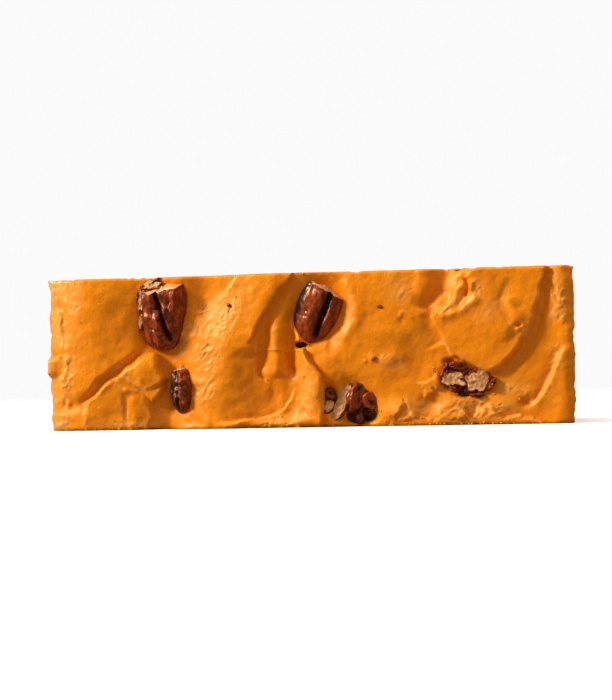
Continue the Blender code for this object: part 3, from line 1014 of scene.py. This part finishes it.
@dataclass
class FudgeSlice:
    """The slice of fudge: its poured top as a fine grid, drawn back to the pan's floor."""

    length: float = 130.0
    thickness: float = 38.0
    depth: float = 66.0
    column: float = 0.275
    wall_draft: float = 1.4
    floor_radius: float = 5.0
    edge_round: float = 0.4
    edge_drop: float = 0.3
    tab_bottom: float = 12.6
    tab_top: float = 19.4
    tab_ease: float = 1.8
    tab_reach: float = 1.6
    tab_stand: float = 1.0
    left_lean: float = 0.6
    right_lean: float = 0.4
    lean_reach: float = 1.4
    fray_reach: float = 1.5
    chip_reach: float = 0.5
    wall_waves: tuple[Triple, ...] = ((0.16, 8, 19), (0.07, 3, 1.4))
    cut_waves: tuple[Triple, ...] = ((0.10, 13, 17), (0.05, 0.9, 30))
    wall_back: float = 0.12
    cut_back: float = 0.14
    settling: float = 1.5
    slower: float = 2.6
    first_rings: tuple[float, ...] = (0.3, 0.8, 1.6, 2.8, 4.4)
    ring_step: float = 4.0
    floor_steps: int = 5
    floor_shrink: Triple = (0.99, 1.0, 0.96)
    floor_strips: int = 11
    top: PouredTop = field(default_factory=PouredTop)

    def __post_init__(self) -> None:
        """Finds the poured top's level from the frame, and forms its relief."""
        self.front = CAD_BOX[1].y / MM - self.depth
        self.columns = round(self.length / self.column)
        self.rows = round(self.thickness / self.column)
        across = np.linspace(0, self.length, self.columns + 1)
        up = np.linspace(0, self.thickness, self.rows + 1)
        self.grid_x, self.grid_z = np.meshgrid(across, up)
        self.relief = self.top.relief(self.grid_x, self.grid_z)
        self.shape_rims()

    def shape_rims(self) -> None:
        """Rounds and frays the poured top's outline, and lets the left rim's tab stand out."""
        x, z, relief = self.grid_x, self.grid_z, self.relief
        to_edge = np.minimum(np.minimum(x, self.length - x), np.minimum(z, self.thickness - z))
        relief.height -= self.edge_drop * np.exp(-((to_edge / self.edge_round) ** 2))
        to_end = np.minimum(x, self.length - x)
        tab = ease((z - self.tab_bottom) / self.tab_ease) * ease((self.tab_top - z) / self.tab_ease)
        tab *= np.exp(-((x / self.tab_reach) ** 2))
        frayed = (1 - tab) * 0.35 * lumps(x, z, (3, 3), 101) + 0.2 * lumps(x, z, (1.1, 1.1), 102)
        left = self.left_lean * (1 - tab) * np.exp(-((x / self.lean_reach) ** 2))
        relief.lean_x -= self.tab_stand * tab + left
        relief.lean_x += self.right_lean * np.exp(-(((self.length - x) / self.lean_reach) ** 2))
        # Painted highlight: the tab is painted pale.
        relief.torn_and_sheen = np.maximum(relief.torn_and_sheen, 0.35 * tab)
        relief.lean_x += frayed * np.exp(-((to_end / self.fray_reach) ** 2))
        to_cut = np.minimum(z, self.thickness - z)
        chip = np.clip(lumps(x, z * 0, (2.6, 1), 103) + 0.5 * lumps(x, z * 0, (0.9, 1), 104) - 0.35, 0, 1)
        inward = np.where(z < self.thickness / 2, 1.0, -1.0)
        relief.lean_z += inward * (0.5 * chip + 0.06) * np.exp(-((to_cut / self.chip_reach) ** 2))

    def surface(self, x: float, z: float) -> Vector:
        """Finds a place on the finished poured top.

        Args:
            x: its place along the slice.
            z: its place up the slice.

        Returns:
            The place, in millimetres in the part's own frame.
        """
        column = round(x / self.length * self.columns)
        row = round(z / self.thickness * self.rows)
        height = self.relief.height[row, column]
        return Vector((x - self.length / 2, self.front - height, z))

    def hollows(self) -> np.ndarray:
        """Finds the hollows of the poured top, which the finish darkens as painted shade.

        Returns:
            How deep each place lies below what is round it, from 0 to 1.
        """
        height = self.relief.height
        mean = height.copy()
        for reach in (2, 4, 6):
            padded = np.pad(mean, reach, mode="edge")
            mean = sum(
                padded[reach + i : reach + i + height.shape[0], reach + j : reach + j + height.shape[1]]
                for i, j in ((-reach, 0), (reach, 0), (0, -reach), (0, reach), (0, 0))
            ) / 5
        return np.clip((mean - height) / 0.35, 0, 1)

    def end_inset(self, depth: float) -> float:
        """Finds how far the pan's end walls lie inside its rim.

        Args:
            depth: the depth behind the poured top.

        Returns:
            The distance, with the pan's draft and its rounded corner.
        """
        into_round = max(0.0, depth - (self.depth - self.floor_radius))
        rounded = self.floor_radius - math.sqrt(self.floor_radius**2 - into_round**2)
        return self.wall_draft * depth / self.depth + rounded

    def rings(self) -> list[float]:
        """Spaces the rings that draw the slice back.

        Returns:
            Their depths behind the poured top: close at first, then even, then round the floor's corner.
        """
        start = self.depth - self.floor_radius
        plain = np.arange(self.first_rings[-1] + self.ring_step, start - self.ring_step / 2, self.ring_step)
        turns = [math.sin(math.pi / 2 * i / self.floor_steps) for i in range(self.floor_steps + 1)]
        rounded = [start + self.floor_radius * turn for turn in turns]
        return list(self.first_rings) + [float(depth) for depth in plain] + rounded

    def build(self, material: bpy.types.Material) -> Piece:
        """Builds the slice.

        Args:
            material: the fudge's finish.

        Returns:
            The piece.
        """
        bm = bmesh.new()
        bmesh.ops.create_grid(bm, x_segments=self.columns, y_segments=self.rows, size=0.5)
        wall, knife = (bm.verts.layers.float.new(name) for name in ("wall", "knife"))
        relief, hollow_shade_map = self.relief, self.hollows()
        hollows, torn_and_sheen = [], []
        for vert in bm.verts:
            column = round((vert.co.x + 0.5) * self.columns)
            row = round((vert.co.y + 0.5) * self.rows)
            hollows.append(hollow_shade_map[row, column])
            torn_and_sheen.append(relief.torn_and_sheen[row, column])
            vert[wall] = float(column in (0, self.columns))
            vert[knife] = float(row in (0, self.rows))
            vert.co = (
                self.grid_x[row, column] + relief.lean_x[row, column] - self.length / 2,
                self.front - relief.height[row, column],
                self.grid_z[row, column] + relief.lean_z[row, column],
            )
        poured = len(bm.verts)
        self.draw_back(bm, wall, knife)
        piece = finished("fudge_slice", bm, material)
        count = len(piece.data.vertices)
        store(piece.data, "cut", np.arange(count) >= poured)
        # For the finish: the hollows' painted shade, and the paleness of ripped skin and painted sheen.
        store(piece.data, "hollow", np.pad(hollows, (0, count - poured)))
        store(piece.data, "torn_and_sheen", np.pad(torn_and_sheen, (0, count - poured)))
        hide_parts("fudge")
        return piece

    def wall_place(self, side: float, z: float, depth: float) -> float:
        """Where an end wall lies at this height and depth. The left end's side is -1, the right end's 1."""
        wave = ripple(self.wall_waves, z, depth, 5.0 * side)
        return side * (self.length / 2 - self.end_inset(depth) - self.wall_back + wave)

    def cut_place(self, side: float, x: float, depth: float) -> float:
        """Where a cut face lies at this length and depth. The upper one's side is 1, the lower one's -1."""
        wave = ripple(self.cut_waves, x, depth, 3.1 * side)
        return self.thickness / 2 + side * (self.thickness / 2 - self.cut_back + wave)

    def draw_back(self, bm: bmesh.types.BMesh, wall: Layer, knife: Layer) -> None:
        """Draws the poured top's outline back in rings that settle into flat sides, and closes the floor.

        Args:
            bm: the mesh, so far only the poured top.
            wall: the layer that marks the two ends.
            knife: the layer that marks the two cut edges.
        """
        ring = [edge for edge in bm.edges if edge.is_boundary]
        last = 0.0
        for depth in self.rings():
            drawn = bmesh.ops.extrude_edge_only(bm, edges=ring)["geom"]
            ring = [part for part in drawn if isinstance(part, bmesh.types.BMEdge)]
            keep = math.exp((last - depth) / self.settling)
            slower = math.exp((last - depth) / (self.slower * self.settling))
            width = (self.length / 2 - self.end_inset(depth)) / (self.length / 2 - self.end_inset(last))
            for vert in (part for part in drawn if isinstance(part, bmesh.types.BMVert)):
                x, y, z = vert.co
                side, up = math.copysign(1.0, x), math.copysign(1.0, z - self.thickness / 2)
                if vert[wall]:
                    vert.co.x = self.wall_place(side, z, depth) + (x - self.wall_place(side, z, last)) * keep
                else:
                    vert.co.x = x * width
                if vert[knife]:
                    vert.co.z = self.cut_place(up, x, depth) + (z - self.cut_place(up, x, last)) * keep
                vert.co.y = self.front + depth + (y - self.front - last) * slower
            last = depth
        drawn = bmesh.ops.extrude_edge_only(bm, edges=ring)["geom"]
        ring = [part for part in drawn if isinstance(part, bmesh.types.BMEdge)]
        rim = [part for part in drawn if isinstance(part, bmesh.types.BMVert)]
        for vert in rim:
            vert[wall] = vert[knife] = 0.0
        middle = Matrix.Translation((0, 0, self.thickness / 2))
        bmesh.ops.scale(bm, vec=self.floor_shrink, space=middle.inverted(), verts=rim)
        floor = bmesh.ops.contextual_create(bm, geom=ring)["faces"]
        for strip in range(1, self.floor_strips):
            at = (strip / self.floor_strips - 0.5) * self.length
            floor = self.slit(bm, floor, (at, 0, 0), (1, 0, 0))

    @staticmethod
    def slit(bm: bmesh.types.BMesh, faces: list[bmesh.types.BMFace], point: Place, normal: Triple) -> list:
        """Cuts flat faces along a plane.

        Args:
            bm: the mesh.
            faces: the faces to cut.
            point: a point of the plane.
            normal: the way that the plane faces.

        Returns:
            All the faces that they became.
        """
        geom = list(faces) + list({edge for face in faces for edge in face.edges})
        geom += list({vert for face in faces for vert in face.verts})
        cut = bmesh.ops.bisect_plane(bm, geom=geom, plane_co=point, plane_no=normal)
        return [part for part in cut["geom"] if isinstance(part, bmesh.types.BMFace)]


@dataclass
class PecanHalf:
    """A pecan half, domed side out: two long lobes, a groove between them, and a broken upper end.

    Angles are in degrees. The groove's place and width are shares of the half width, broken_at is the
    break's height above the middle, and a blunt nut keeps its width further towards its ends. Its groove,
    its cracks and its left flank are darkened as painted shade.
    """

    name: str
    node: str
    middle: Point
    width: float
    length: float
    height: float
    lean: float
    broken_at: float
    break_slant: float
    sunk: float
    break_tilt: float = 8.0
    groove_turn: float = 0.0
    groove_offset: float = 0.0
    groove_width: float = 0.17
    groove_depth: float = 0.55
    wrinkle: float = 0.3
    flank_shade: float = 0.0
    blunt: float = 0.0
    seed: float = 0.0
    segments: int = 96
    rings: int = 110
    flat_side: float = 0.6
    break_rings: tuple[float, ...] = (0.93, 0.8, 0.6, 0.4, 0.2)
    break_shrink: float = 0.8
    rim_flesh: float = 0.8

    def build(self, material: bpy.types.Material, slice_: FudgeSlice) -> Piece:
        """Builds the nut and sets it in the slice.

        Args:
            material: the nuts' finish.
            slice_: the slice that it sits in.

        Returns:
            The piece.
        """
        bm = bmesh.new()
        bmesh.ops.create_uvsphere(bm, u_segments=self.segments, v_segments=self.rings, radius=1.0)
        dark_skin_and_shade_layer = bm.verts.layers.float.new("groove")
        flesh_layer = bm.verts.layers.float.new("flesh")
        for vert in bm.verts:
            self.shape(vert, dark_skin_and_shade_layer)
        self.break_off(bm, flesh_layer)
        lean = Matrix.Rotation(math.radians(self.lean), 4, "Y")
        at = (self.middle[0] - slice_.length / 2, slice_.front + self.sunk, self.middle[1])
        bmesh.ops.transform(bm, matrix=Matrix.Translation(at) @ lean, verts=bm.verts)
        piece = finished(self.name, bm, material)
        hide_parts(self.node)
        return piece

    def uneven(self, x: float, z: float, seed: float) -> float:
        """This nut's own smooth noise."""
        return noise.noise(Vector((x, z, self.seed + seed)))

    def shape(self, vert: bmesh.types.BMVert, dark_skin_and_shade_layer: Layer) -> None:
        """Moves a point of the unit ball to its place on the nut.

        Args:
            vert: the point.
            dark_skin_and_shade_layer: the layer that keeps how dark the skin is there.
        """
        x, y, z = vert.co
        x *= max(0.05, math.hypot(x, y)) ** -self.blunt
        wander = self.groove_offset + 0.10 * self.uneven(0, z * 2.6, 0)
        lateral = (x - wander + self.groove_turn * z) / self.groove_width
        fade = float(ease(np.float64((z + 0.92) / 0.25)))
        groove = math.exp(-(lateral**2)) * fade if y < 0 else 0.0
        ribs = self.uneven(x * 4.2, z * 1.5, 4)
        dents = self.uneven(x * 2.4, z * 4.2, 9)
        fine = self.uneven(x * 11, z * 8.0, 14)
        split = self.uneven(x * 2.8 + 0.6 * fine, z * 4.4 + 0.5 * ribs, 27)
        crack = max(0.0, 1 - abs(split) / 0.09) if y < 0 else 0.0
        # Painted shade: the groove, the cracks and the left flank are darkened.
        flank = self.flank_shade * min(1.0, max(0.0, -2.4 * x - 0.9))
        vert[dark_skin_and_shade_layer] = max(groove, flank, 0.75 * crack * min(1.0, self.wrinkle))
        swell = 1 + self.wrinkle * (0.18 * ribs + 0.20 * dents + 0.08 * fine - 0.10 * crack)
        swell -= self.groove_depth * groove
        y *= swell if y < 0 else self.flat_side
        outline = 1 + 0.05 * self.uneven(z * 2.0, x, 20)
        outline += 0.05 * self.wrinkle * self.uneven(z * 5.0, x, 22)
        vert.co = (x * self.width / 2 * outline, y * self.height, z * self.length / 2)

    def break_off(self, bm: bmesh.types.BMesh, flesh_layer: Layer) -> None:
        """Breaks the nut's upper end off and makes the rough pale flesh of the break.

        Args:
            bm: the nut's mesh.
            flesh_layer: the layer that marks the flesh.
        """
        slant = math.radians(self.break_slant)
        facing = -math.tan(math.radians(self.break_tilt))
        outward = Vector((-math.sin(slant), facing, math.cos(slant))).normalized()
        everything = list(bm.verts) + list(bm.edges) + list(bm.faces)
        cut = bmesh.ops.bisect_plane(
            bm, geom=everything, plane_co=(0, 0, self.broken_at), plane_no=outward, clear_outer=True
        )
        rim = [part for part in cut["geom_cut"] if isinstance(part, bmesh.types.BMEdge)]
        for edge in rim:
            for vert in edge.verts:
                vert[flesh_layer] = self.rim_flesh
        for inset in self.break_rings:
            drawn = bmesh.ops.extrude_edge_only(bm, edges=rim)["geom"]
            rim = [part for part in drawn if isinstance(part, bmesh.types.BMEdge)]
            verts = [part for part in drawn if isinstance(part, bmesh.types.BMVert)]
            middle = sum((vert.co for vert in verts), Vector()) / len(verts)
            for vert in verts:
                vert.co = middle + (vert.co - middle) * self.break_shrink
                rough = noise.noise(vert.co * 0.9 + Vector((self.seed, 0, inset)))
                vert.co += outward * (0.5 * rough * (1 - inset) + 0.25 * (1 - inset))
                vert[flesh_layer] = 1.0
        closed = bmesh.ops.contextual_create(bm, geom=rim)["faces"]
        bmesh.ops.triangulate(bm, faces=closed)


@dataclass(frozen=True)
class Break:
    """A flat break of a lump: the way it faces, how far out it lies, and whether it bares the flesh."""

    facing: Triple
    out: float
    bare: bool = True


@dataclass(frozen=True)
class Lump:
    """One part of a broken piece of nut: a rough ball with flat breaks, leant by degrees."""

    at: Place
    size: Triple
    lean: float
    seed: float
    breaks: tuple[Break, ...] = ()
    rough: float = 0.16
    dark: float = 0.0


@dataclass
class PecanChunk:
    """An irregular broken piece of nut, made of lumps that overlap. A small one replaces no node."""

    name: str
    lumps: tuple[Lump, ...]
    node: str = ""
    subdivisions: int = 5
    lowest: float = 0.1

    def build(self, material: bpy.types.Material, slice_: FudgeSlice) -> Piece:
        """Builds the piece and sets it in the slice.

        Args:
            material: the nuts' finish.
            slice_: the slice that it sits in.

        Returns:
            The piece.
        """
        bm = bmesh.new()
        flesh_layer = bm.verts.layers.float.new("flesh")
        dark_skin_and_shade_layer = bm.verts.layers.float.new("groove")
        for lump in self.lumps:
            verts = bmesh.ops.create_icosphere(bm, subdivisions=self.subdivisions, radius=0.5)["verts"]
            self.form(lump, verts, flesh_layer, dark_skin_and_shade_layer)
            lean = Matrix.Rotation(math.radians(lump.lean), 4, "Y")
            at = (lump.at[0] - slice_.length / 2, slice_.front + lump.at[1], lump.at[2])
            bmesh.ops.transform(bm, matrix=Matrix.Translation(at) @ lean, verts=verts)
        for vert in bm.verts:
            vert.co.z = max(vert.co.z, self.lowest)
        piece = finished(self.name, bm, material)
        if self.node:
            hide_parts(self.node)
        return piece

    @staticmethod
    def form(lump: Lump, verts: list[bmesh.types.BMVert], flesh_layer: Layer, dark_skin_and_shade_layer: Layer) -> None:
        """Makes a rough lump with its breaks from the points of a ball.

        Args:
            lump: the lump.
            verts: the ball's points.
            flesh_layer: the layer that marks the flesh.
            dark_skin_and_shade_layer: the layer that keeps how dark the skin is.
        """
        for vert in verts:
            place = vert.co * 3.2 + Vector((lump.seed, 0, 0))
            swell = 1 + lump.rough * (noise.noise(place) + 0.45 * noise.noise(place * 2.6))
            vert.co = Vector(a * b for a, b in zip(vert.co * swell, lump.size))
            vert[dark_skin_and_shade_layer] = max(lump.dark, min(1.0, -1.6 * noise.noise(place)))
            for number, side in enumerate(lump.breaks):
                outward = Vector(side.facing).normalized()
                grit = 0.22 * noise.noise(vert.co * 1.3 + Vector((number * 7.0, lump.seed, 0)))
                past = vert.co.dot(outward) - (side.out + grit)
                if past > 0:
                    vert.co -= outward * past
                    vert[flesh_layer] = max(vert[flesh_layer], min(1.0, past / 0.25)) if side.bare else 0.0


@dataclass
class Crumbs:
    """Loose crumbs of one kind, scattered over part of the poured top.

    Each spot is its place along the slice and up it, how far its crumbs spread, and their number.
    """

    name: str
    spots: list[tuple[float, float, float, int]]
    seed: int
    sizes: Pair = (0.25, 0.6)

    def build(self, material: bpy.types.Material, slot: Slot, slice_: FudgeSlice) -> Piece:
        """Scatters the crumbs.

        Args:
            material: their finish.
            slot: the record's slot of that finish; not used.
            slice_: the slice that they lie on.

        Returns:
            The piece.
        """
        draw = np.random.default_rng(self.seed)
        bm = bmesh.new()
        for x, z, spread, count in self.spots:
            for _ in range(count):
                place_x = float(np.clip(x + draw.normal(0, spread), 0.5, slice_.length - 0.5))
                place_z = float(np.clip(z + draw.normal(0, spread * 0.5), 0.3, slice_.thickness - 0.4))
                size = draw.uniform(*self.sizes)
                verts = bmesh.ops.create_icosphere(bm, subdivisions=2, radius=0.5)["verts"]
                for vert in verts:
                    vert.co *= 1 + 0.5 * noise.noise(vert.co * 3 + Vector((place_x, place_z, 0)))
                stretch = Matrix.Diagonal((size * draw.uniform(0.8, 1.5), size * 0.8, size, 1))
                turn = Matrix.Rotation(draw.uniform(0, math.tau), 4, "Y")
                at = slice_.surface(place_x, place_z) - Vector((0, 0.15 * size, 0))
                bmesh.ops.transform(bm, matrix=Matrix.Translation(at) @ turn @ stretch, verts=verts)
        return finished(self.name, bm, material)


PECAN_HALVES = [
    PecanHalf(
        "pecan_half_left", "pecan_left", middle=(29.4, 32.2), width=11.6, length=25.0, height=5.2, lean=3.5,
        broken_at=3.7, break_slant=14.0, sunk=1.7, break_tilt=21.0, groove_turn=0.75, groove_offset=-0.22,
        groove_width=0.11, groove_depth=0.55, wrinkle=1.25, flank_shade=0.35, blunt=0.4, seed=2.3,
    ),
    PecanHalf(
        "pecan_half_middle", "pecan_middle", middle=(69.1, 30.9), width=11.8, length=22.6, height=4.8,
        lean=23.0, broken_at=3.6, break_slant=-11.0, sunk=2.0, groove_offset=0.32, groove_width=0.11,
        groove_depth=0.7, wrinkle=0.6, flank_shade=0.9, blunt=0.1, seed=7.9,
    ),
    PecanHalf(
        "pecan_piece_left", "pecan_sliver", middle=(33.6, 9.8), width=5.8, length=11.8, height=3.4,
        lean=-3.0, broken_at=5.2, break_slant=8.0, sunk=1.5, groove_offset=-0.3, groove_width=0.22,
        groove_depth=0.25, wrinkle=1.2, flank_shade=0.9, blunt=0.3, seed=13.1, segments=64, rings=72,
    ),
]

PECAN_CHUNKS = [
    PecanChunk(
        "pecan_pieces_low",
        (
            Lump((76.4, 2.9, 5.3), (13.6, 5.0, 9.6), 24.0, 2.1, rough=0.8, dark=0.62),
            Lump(
                (73.6, 0.9, 5.4), (3.4, 6.0, 12.4), 23.0, 3.7,
                (Break((-0.2, -1, 0.1), 1.5), Break((-1, -0.3, 0), 1.4)),
            ),
            Lump((77.2, 0.9, 7.3), (4.4, 5.4, 8.0), 20.0, 5.1, (Break((0.5, -0.8, 0.1), 1.7, bare=False),)),
            Lump((80.9, 1.2, 6.3), (5.2, 4.8, 4.8), 60.0, 9.4, (Break((0.2, -0.9, 0.3), 1.5, bare=False),)),
            Lump((70.9, 1.1, 8.1), (3.2, 3.8, 3.8), 30.0, 12.8, (Break((0.3, -1, 0.3), 1.3, bare=False),)),
            Lump((70.6, 0.9, 4.7), (3.0, 3.8, 4.8), 12.0, 15.3, (Break((0, -1, 0.3), 1.2),)),
            Lump((69.9, 1.0, 1.6), (3.2, 3.4, 3.0), 40.0, 16.6, (Break((0, -1, 0.3), 1.2),)),
        ),
        "pecan_chunk_low",
    ),
    PecanChunk(
        "pecan_pieces_right",
        (
            Lump((104.6, 2.8, 10.6), (11.4, 4.6, 7.2), -14.0, 2.9, rough=0.9, dark=0.62),
            Lump(
                (101.4, 0.8, 11.3), (7.2, 5.0, 5.0), 8.0, 6.2,
                (Break((0, -1, 0.1), 1.5), Break((0, -0.5, 1), 1.8)), 0.4,
            ),
            Lump((106.9, 0.8, 10.6), (5.8, 5.0, 6.8), -24.0, 41.2, (Break((0.1, -1, 0), 1.5),), 0.45),
            Lump(
                (102.4, 0.7, 14.3), (5.2, 4.8, 2.4), 10.0, 17.3, (Break((0.2, -1, -0.4), 1.9, bare=False),),
                0.4,
            ),
            Lump((99.6, 0.9, 14.0), (2.2, 4.4, 2.6), -30.0, 19.6, (), 0.4),
            Lump((98.6, 1.0, 12.0), (1.6, 4.2, 3.2), 8.0, 20.4, (), 0.3),
            Lump((110.2, 0.8, 9.9), (2.6, 4.6, 3.6), 30.0, 21.9, (), 0.4),
            Lump(
                (101.0, 1.0, 8.9), (3.0, 4.4, 2.0), 20.0, 25.2, (Break((0.2, -1, 0.6), 1.7, bare=False),),
                0.4,
            ),
            Lump(
                (106.6, 1.0, 7.4), (3.8, 4.4, 1.8), 16.0, 29.6, (Break((-0.4, -0.6, 1), 0.9, bare=False),),
                0.4,
            ),
            Lump((103.4, 0.9, 11.4), (1.6, 4.6, 0.7), -10.0, 30.6, (Break((0, -1, 0), 1.9),), 0.3),
        ),
        "pecan_chunk_right",
    ),
    PecanChunk(
        "pecan_edge_left",
        (
            Lump((23.7, 1.2, 31.6), (2.0, 3.4, 7.4), -8.0, 33.0, (Break((0, -1, 0), 1.1),), 0.5),
            Lump((23.6, 1.3, 27.2), (1.6, 3.0, 5.0), 8.0, 36.0, (Break((0, -1, 0), 1.0),), 0.5),
            Lump((26.2, 0.7, 35.9), (6.4, 3.4, 2.8), -18.0, 38.0, (Break((0, -1, 0.3), 1.2),), 0.5),
        ),
    ),
    PecanChunk(
        "pecan_sliver_and_hole_shade",
        (
            # Painted shade: a near-black lump fills the dark hole below the middle nut half.
            Lump((63.4, 1.6, 20.5), (2.8, 2.6, 1.4), -8.0, 44.0, dark=1.0),
            Lump((104.6, 0.5, 37.3), (4.8, 1.6, 0.9), 4.0, 46.0, dark=0.3),
        ),
    ),
]


# ---------------------------------------------------------------- studio


@dataclass
class Studio:
    """The floor, the soft lights and the camera."""

    floor_radius: float = 6.0
    camera_azimuth: float = 9.5
    camera_distance: float = 0.445
    camera_height: float = 0.009
    aim: Place = (0.0, -0.030, 0.019)
    lens: float = 93.0
    roll: float = 1.1
    nearest_seen: float = 0.01
    backdrop: Color = (1.0, 1.0, 1.0, 1.0)
    bounce: Color = (0.22, 0.21, 0.20, 1.0)
    light_level: float = 0.15
    seen_level: float = 0.96
    sun_power: float = 2.6
    sun_spread: float = 70.0
    softboxes: tuple[tuple[str, Place, float, float], ...] = (
        ("Key", (-0.86, -0.42, 0.52), 0.24, 14.0), ("Fill", (0.5, -0.9, 0.2), 0.6, 0.9),
        ("Back", (0.5, 0.9, 0.5), 0.6, 3.0),
    )

    def build(self) -> None:
        """Sets up the whole studio."""
        self.floor()
        self.world()
        for name, place, size, power in self.softboxes:
            self.softbox(name, place, size, power)
        self.overhead()
        self.camera()
        bpy.context.scene.view_settings.view_transform = "Standard"

    def floor(self) -> None:
        """Lays a wide pale floor: white to the camera, and darker in the light that it sends back."""
        bm = bmesh.new()
        bmesh.ops.create_circle(bm, cap_ends=True, segments=64, radius=self.floor_radius)
        mesh = bpy.data.meshes.new("floor")
        bm.to_mesh(mesh)
        bm.free()
        material, nodes = new_finish("Floor")
        seen = nodes.add("ShaderNodeLightPath").outputs["Is Camera Ray"]
        color = nodes.mix(seen, self.bounce, self.backdrop)
        dress(material, {"Base Color": color}, {"Roughness": 1.0, "Specular IOR Level": 0.0})
        mesh.materials.append(material)
        floor = bpy.data.objects.new("floor", mesh)
        bpy.context.scene.collection.objects.link(floor)

    def world(self) -> None:
        """Sets an even light from all sides, and a white backdrop."""
        world = bpy.data.worlds.new("Studio")
        bpy.context.scene.world = world
        world.use_nodes = True
        nodes = Nodes(world.node_tree)
        rays = nodes.add("ShaderNodeLightPath")
        strength = nodes.ramp(rays.outputs["Is Camera Ray"], 0.0, 1.0, self.light_level, self.seen_level)
        background = world.node_tree.nodes["Background"]
        background.inputs["Color"].default_value = self.backdrop
        world.node_tree.links.new(strength, background.inputs["Strength"])

    def softbox(self, name: str, place: Place, size: float, power: float) -> None:
        """Hangs a square soft light that looks at the slice.

        Args:
            name: its name.
            place: where it hangs, in metres.
            size: its width, in metres.
            power: its power, in watts.
        """
        lamp = bpy.data.lights.new(name, "AREA")
        lamp.shape = "SQUARE"
        lamp.size = size
        lamp.energy = power
        light = bpy.data.objects.new(name, lamp)
        light.location = place
        light.rotation_euler = (Vector(self.aim) - Vector(place)).to_track_quat("-Z", "Y").to_euler()
        light.visible_camera = False
        bpy.context.scene.collection.objects.link(light)

    def overhead(self) -> None:
        """Hangs a broad light straight above, which keeps the floor evenly pale."""
        lamp = bpy.data.lights.new("Overhead", "SUN")
        lamp.energy = self.sun_power
        lamp.angle = math.radians(self.sun_spread)
        light = bpy.data.objects.new("Overhead", lamp)
        bpy.context.scene.collection.objects.link(light)

    def camera(self) -> None:
        """Sets up a long lens, almost level with the slice's underside and a little to its right."""
        azimuth = math.radians(self.camera_azimuth)
        aim = Vector(self.aim)
        away = Vector((math.sin(azimuth), -math.cos(azimuth), 0)) * self.camera_distance
        place = Vector((aim.x + away.x, aim.y + away.y, self.camera_height))
        data = bpy.data.cameras.new("Camera")
        data.lens = self.lens
        data.clip_start = self.nearest_seen
        camera = bpy.data.objects.new("Camera", data)
        turn = (aim - place).to_track_quat("-Z", "Y").to_matrix().to_4x4()
        roll = Matrix.Rotation(math.radians(-self.roll), 4, "Z")
        camera.matrix_world = Matrix.Translation(place) @ turn @ roll
        bpy.context.scene.collection.objects.link(camera)
        bpy.context.scene.camera = camera


def main() -> None:
    """Builds the slice, its nuts and crumbs, and the studio."""
    logging.basicConfig(level=logging.INFO, format="%(name)s: %(message)s")
    fudge = FudgeFinish().make(speckle_group())
    pecan = PecanFinish().make()
    slice_ = FudgeSlice()
    pieces = [slice_.build(fudge)]
    for nut in PECAN_HALVES + PECAN_CHUNKS:
        pieces.append(nut.build(pecan, slice_))
    crumbs = Crumbs(
        "fudge_crumbs",
        [(60, 0.5, 5, 22), (90, 0.6, 5, 16), (105, 0.8, 7, 22), (20, 0.5, 10, 12), (60, 37.5, 30, 14)]
        + [(78.5, 3.0, 0.3, 1), (104, 9, 3, 10), (97.5, 13.5, 0.8, 5), (72, 0.8, 1.6, 8)],
        7,
    )
    pieces.append(crumbs.build(fudge, Slot.FUDGE, slice_))
    bit_spots = [(83.6, 29.0, 0.35, 3), (82.2, 16.5, 0.3, 2), (46.8, 30.4, 0.2, 1)]
    bits = Crumbs("pecan_bits", bit_spots, 11, (0.5, 1.0))
    pieces.append(bits.build(pecan, Slot.PECAN, slice_))
    for piece in pieces:
        LOG.info("%s: %d faces", piece.name, len(piece.data.polygons))
    Studio().build()


if __name__ == "__main__":
    main()
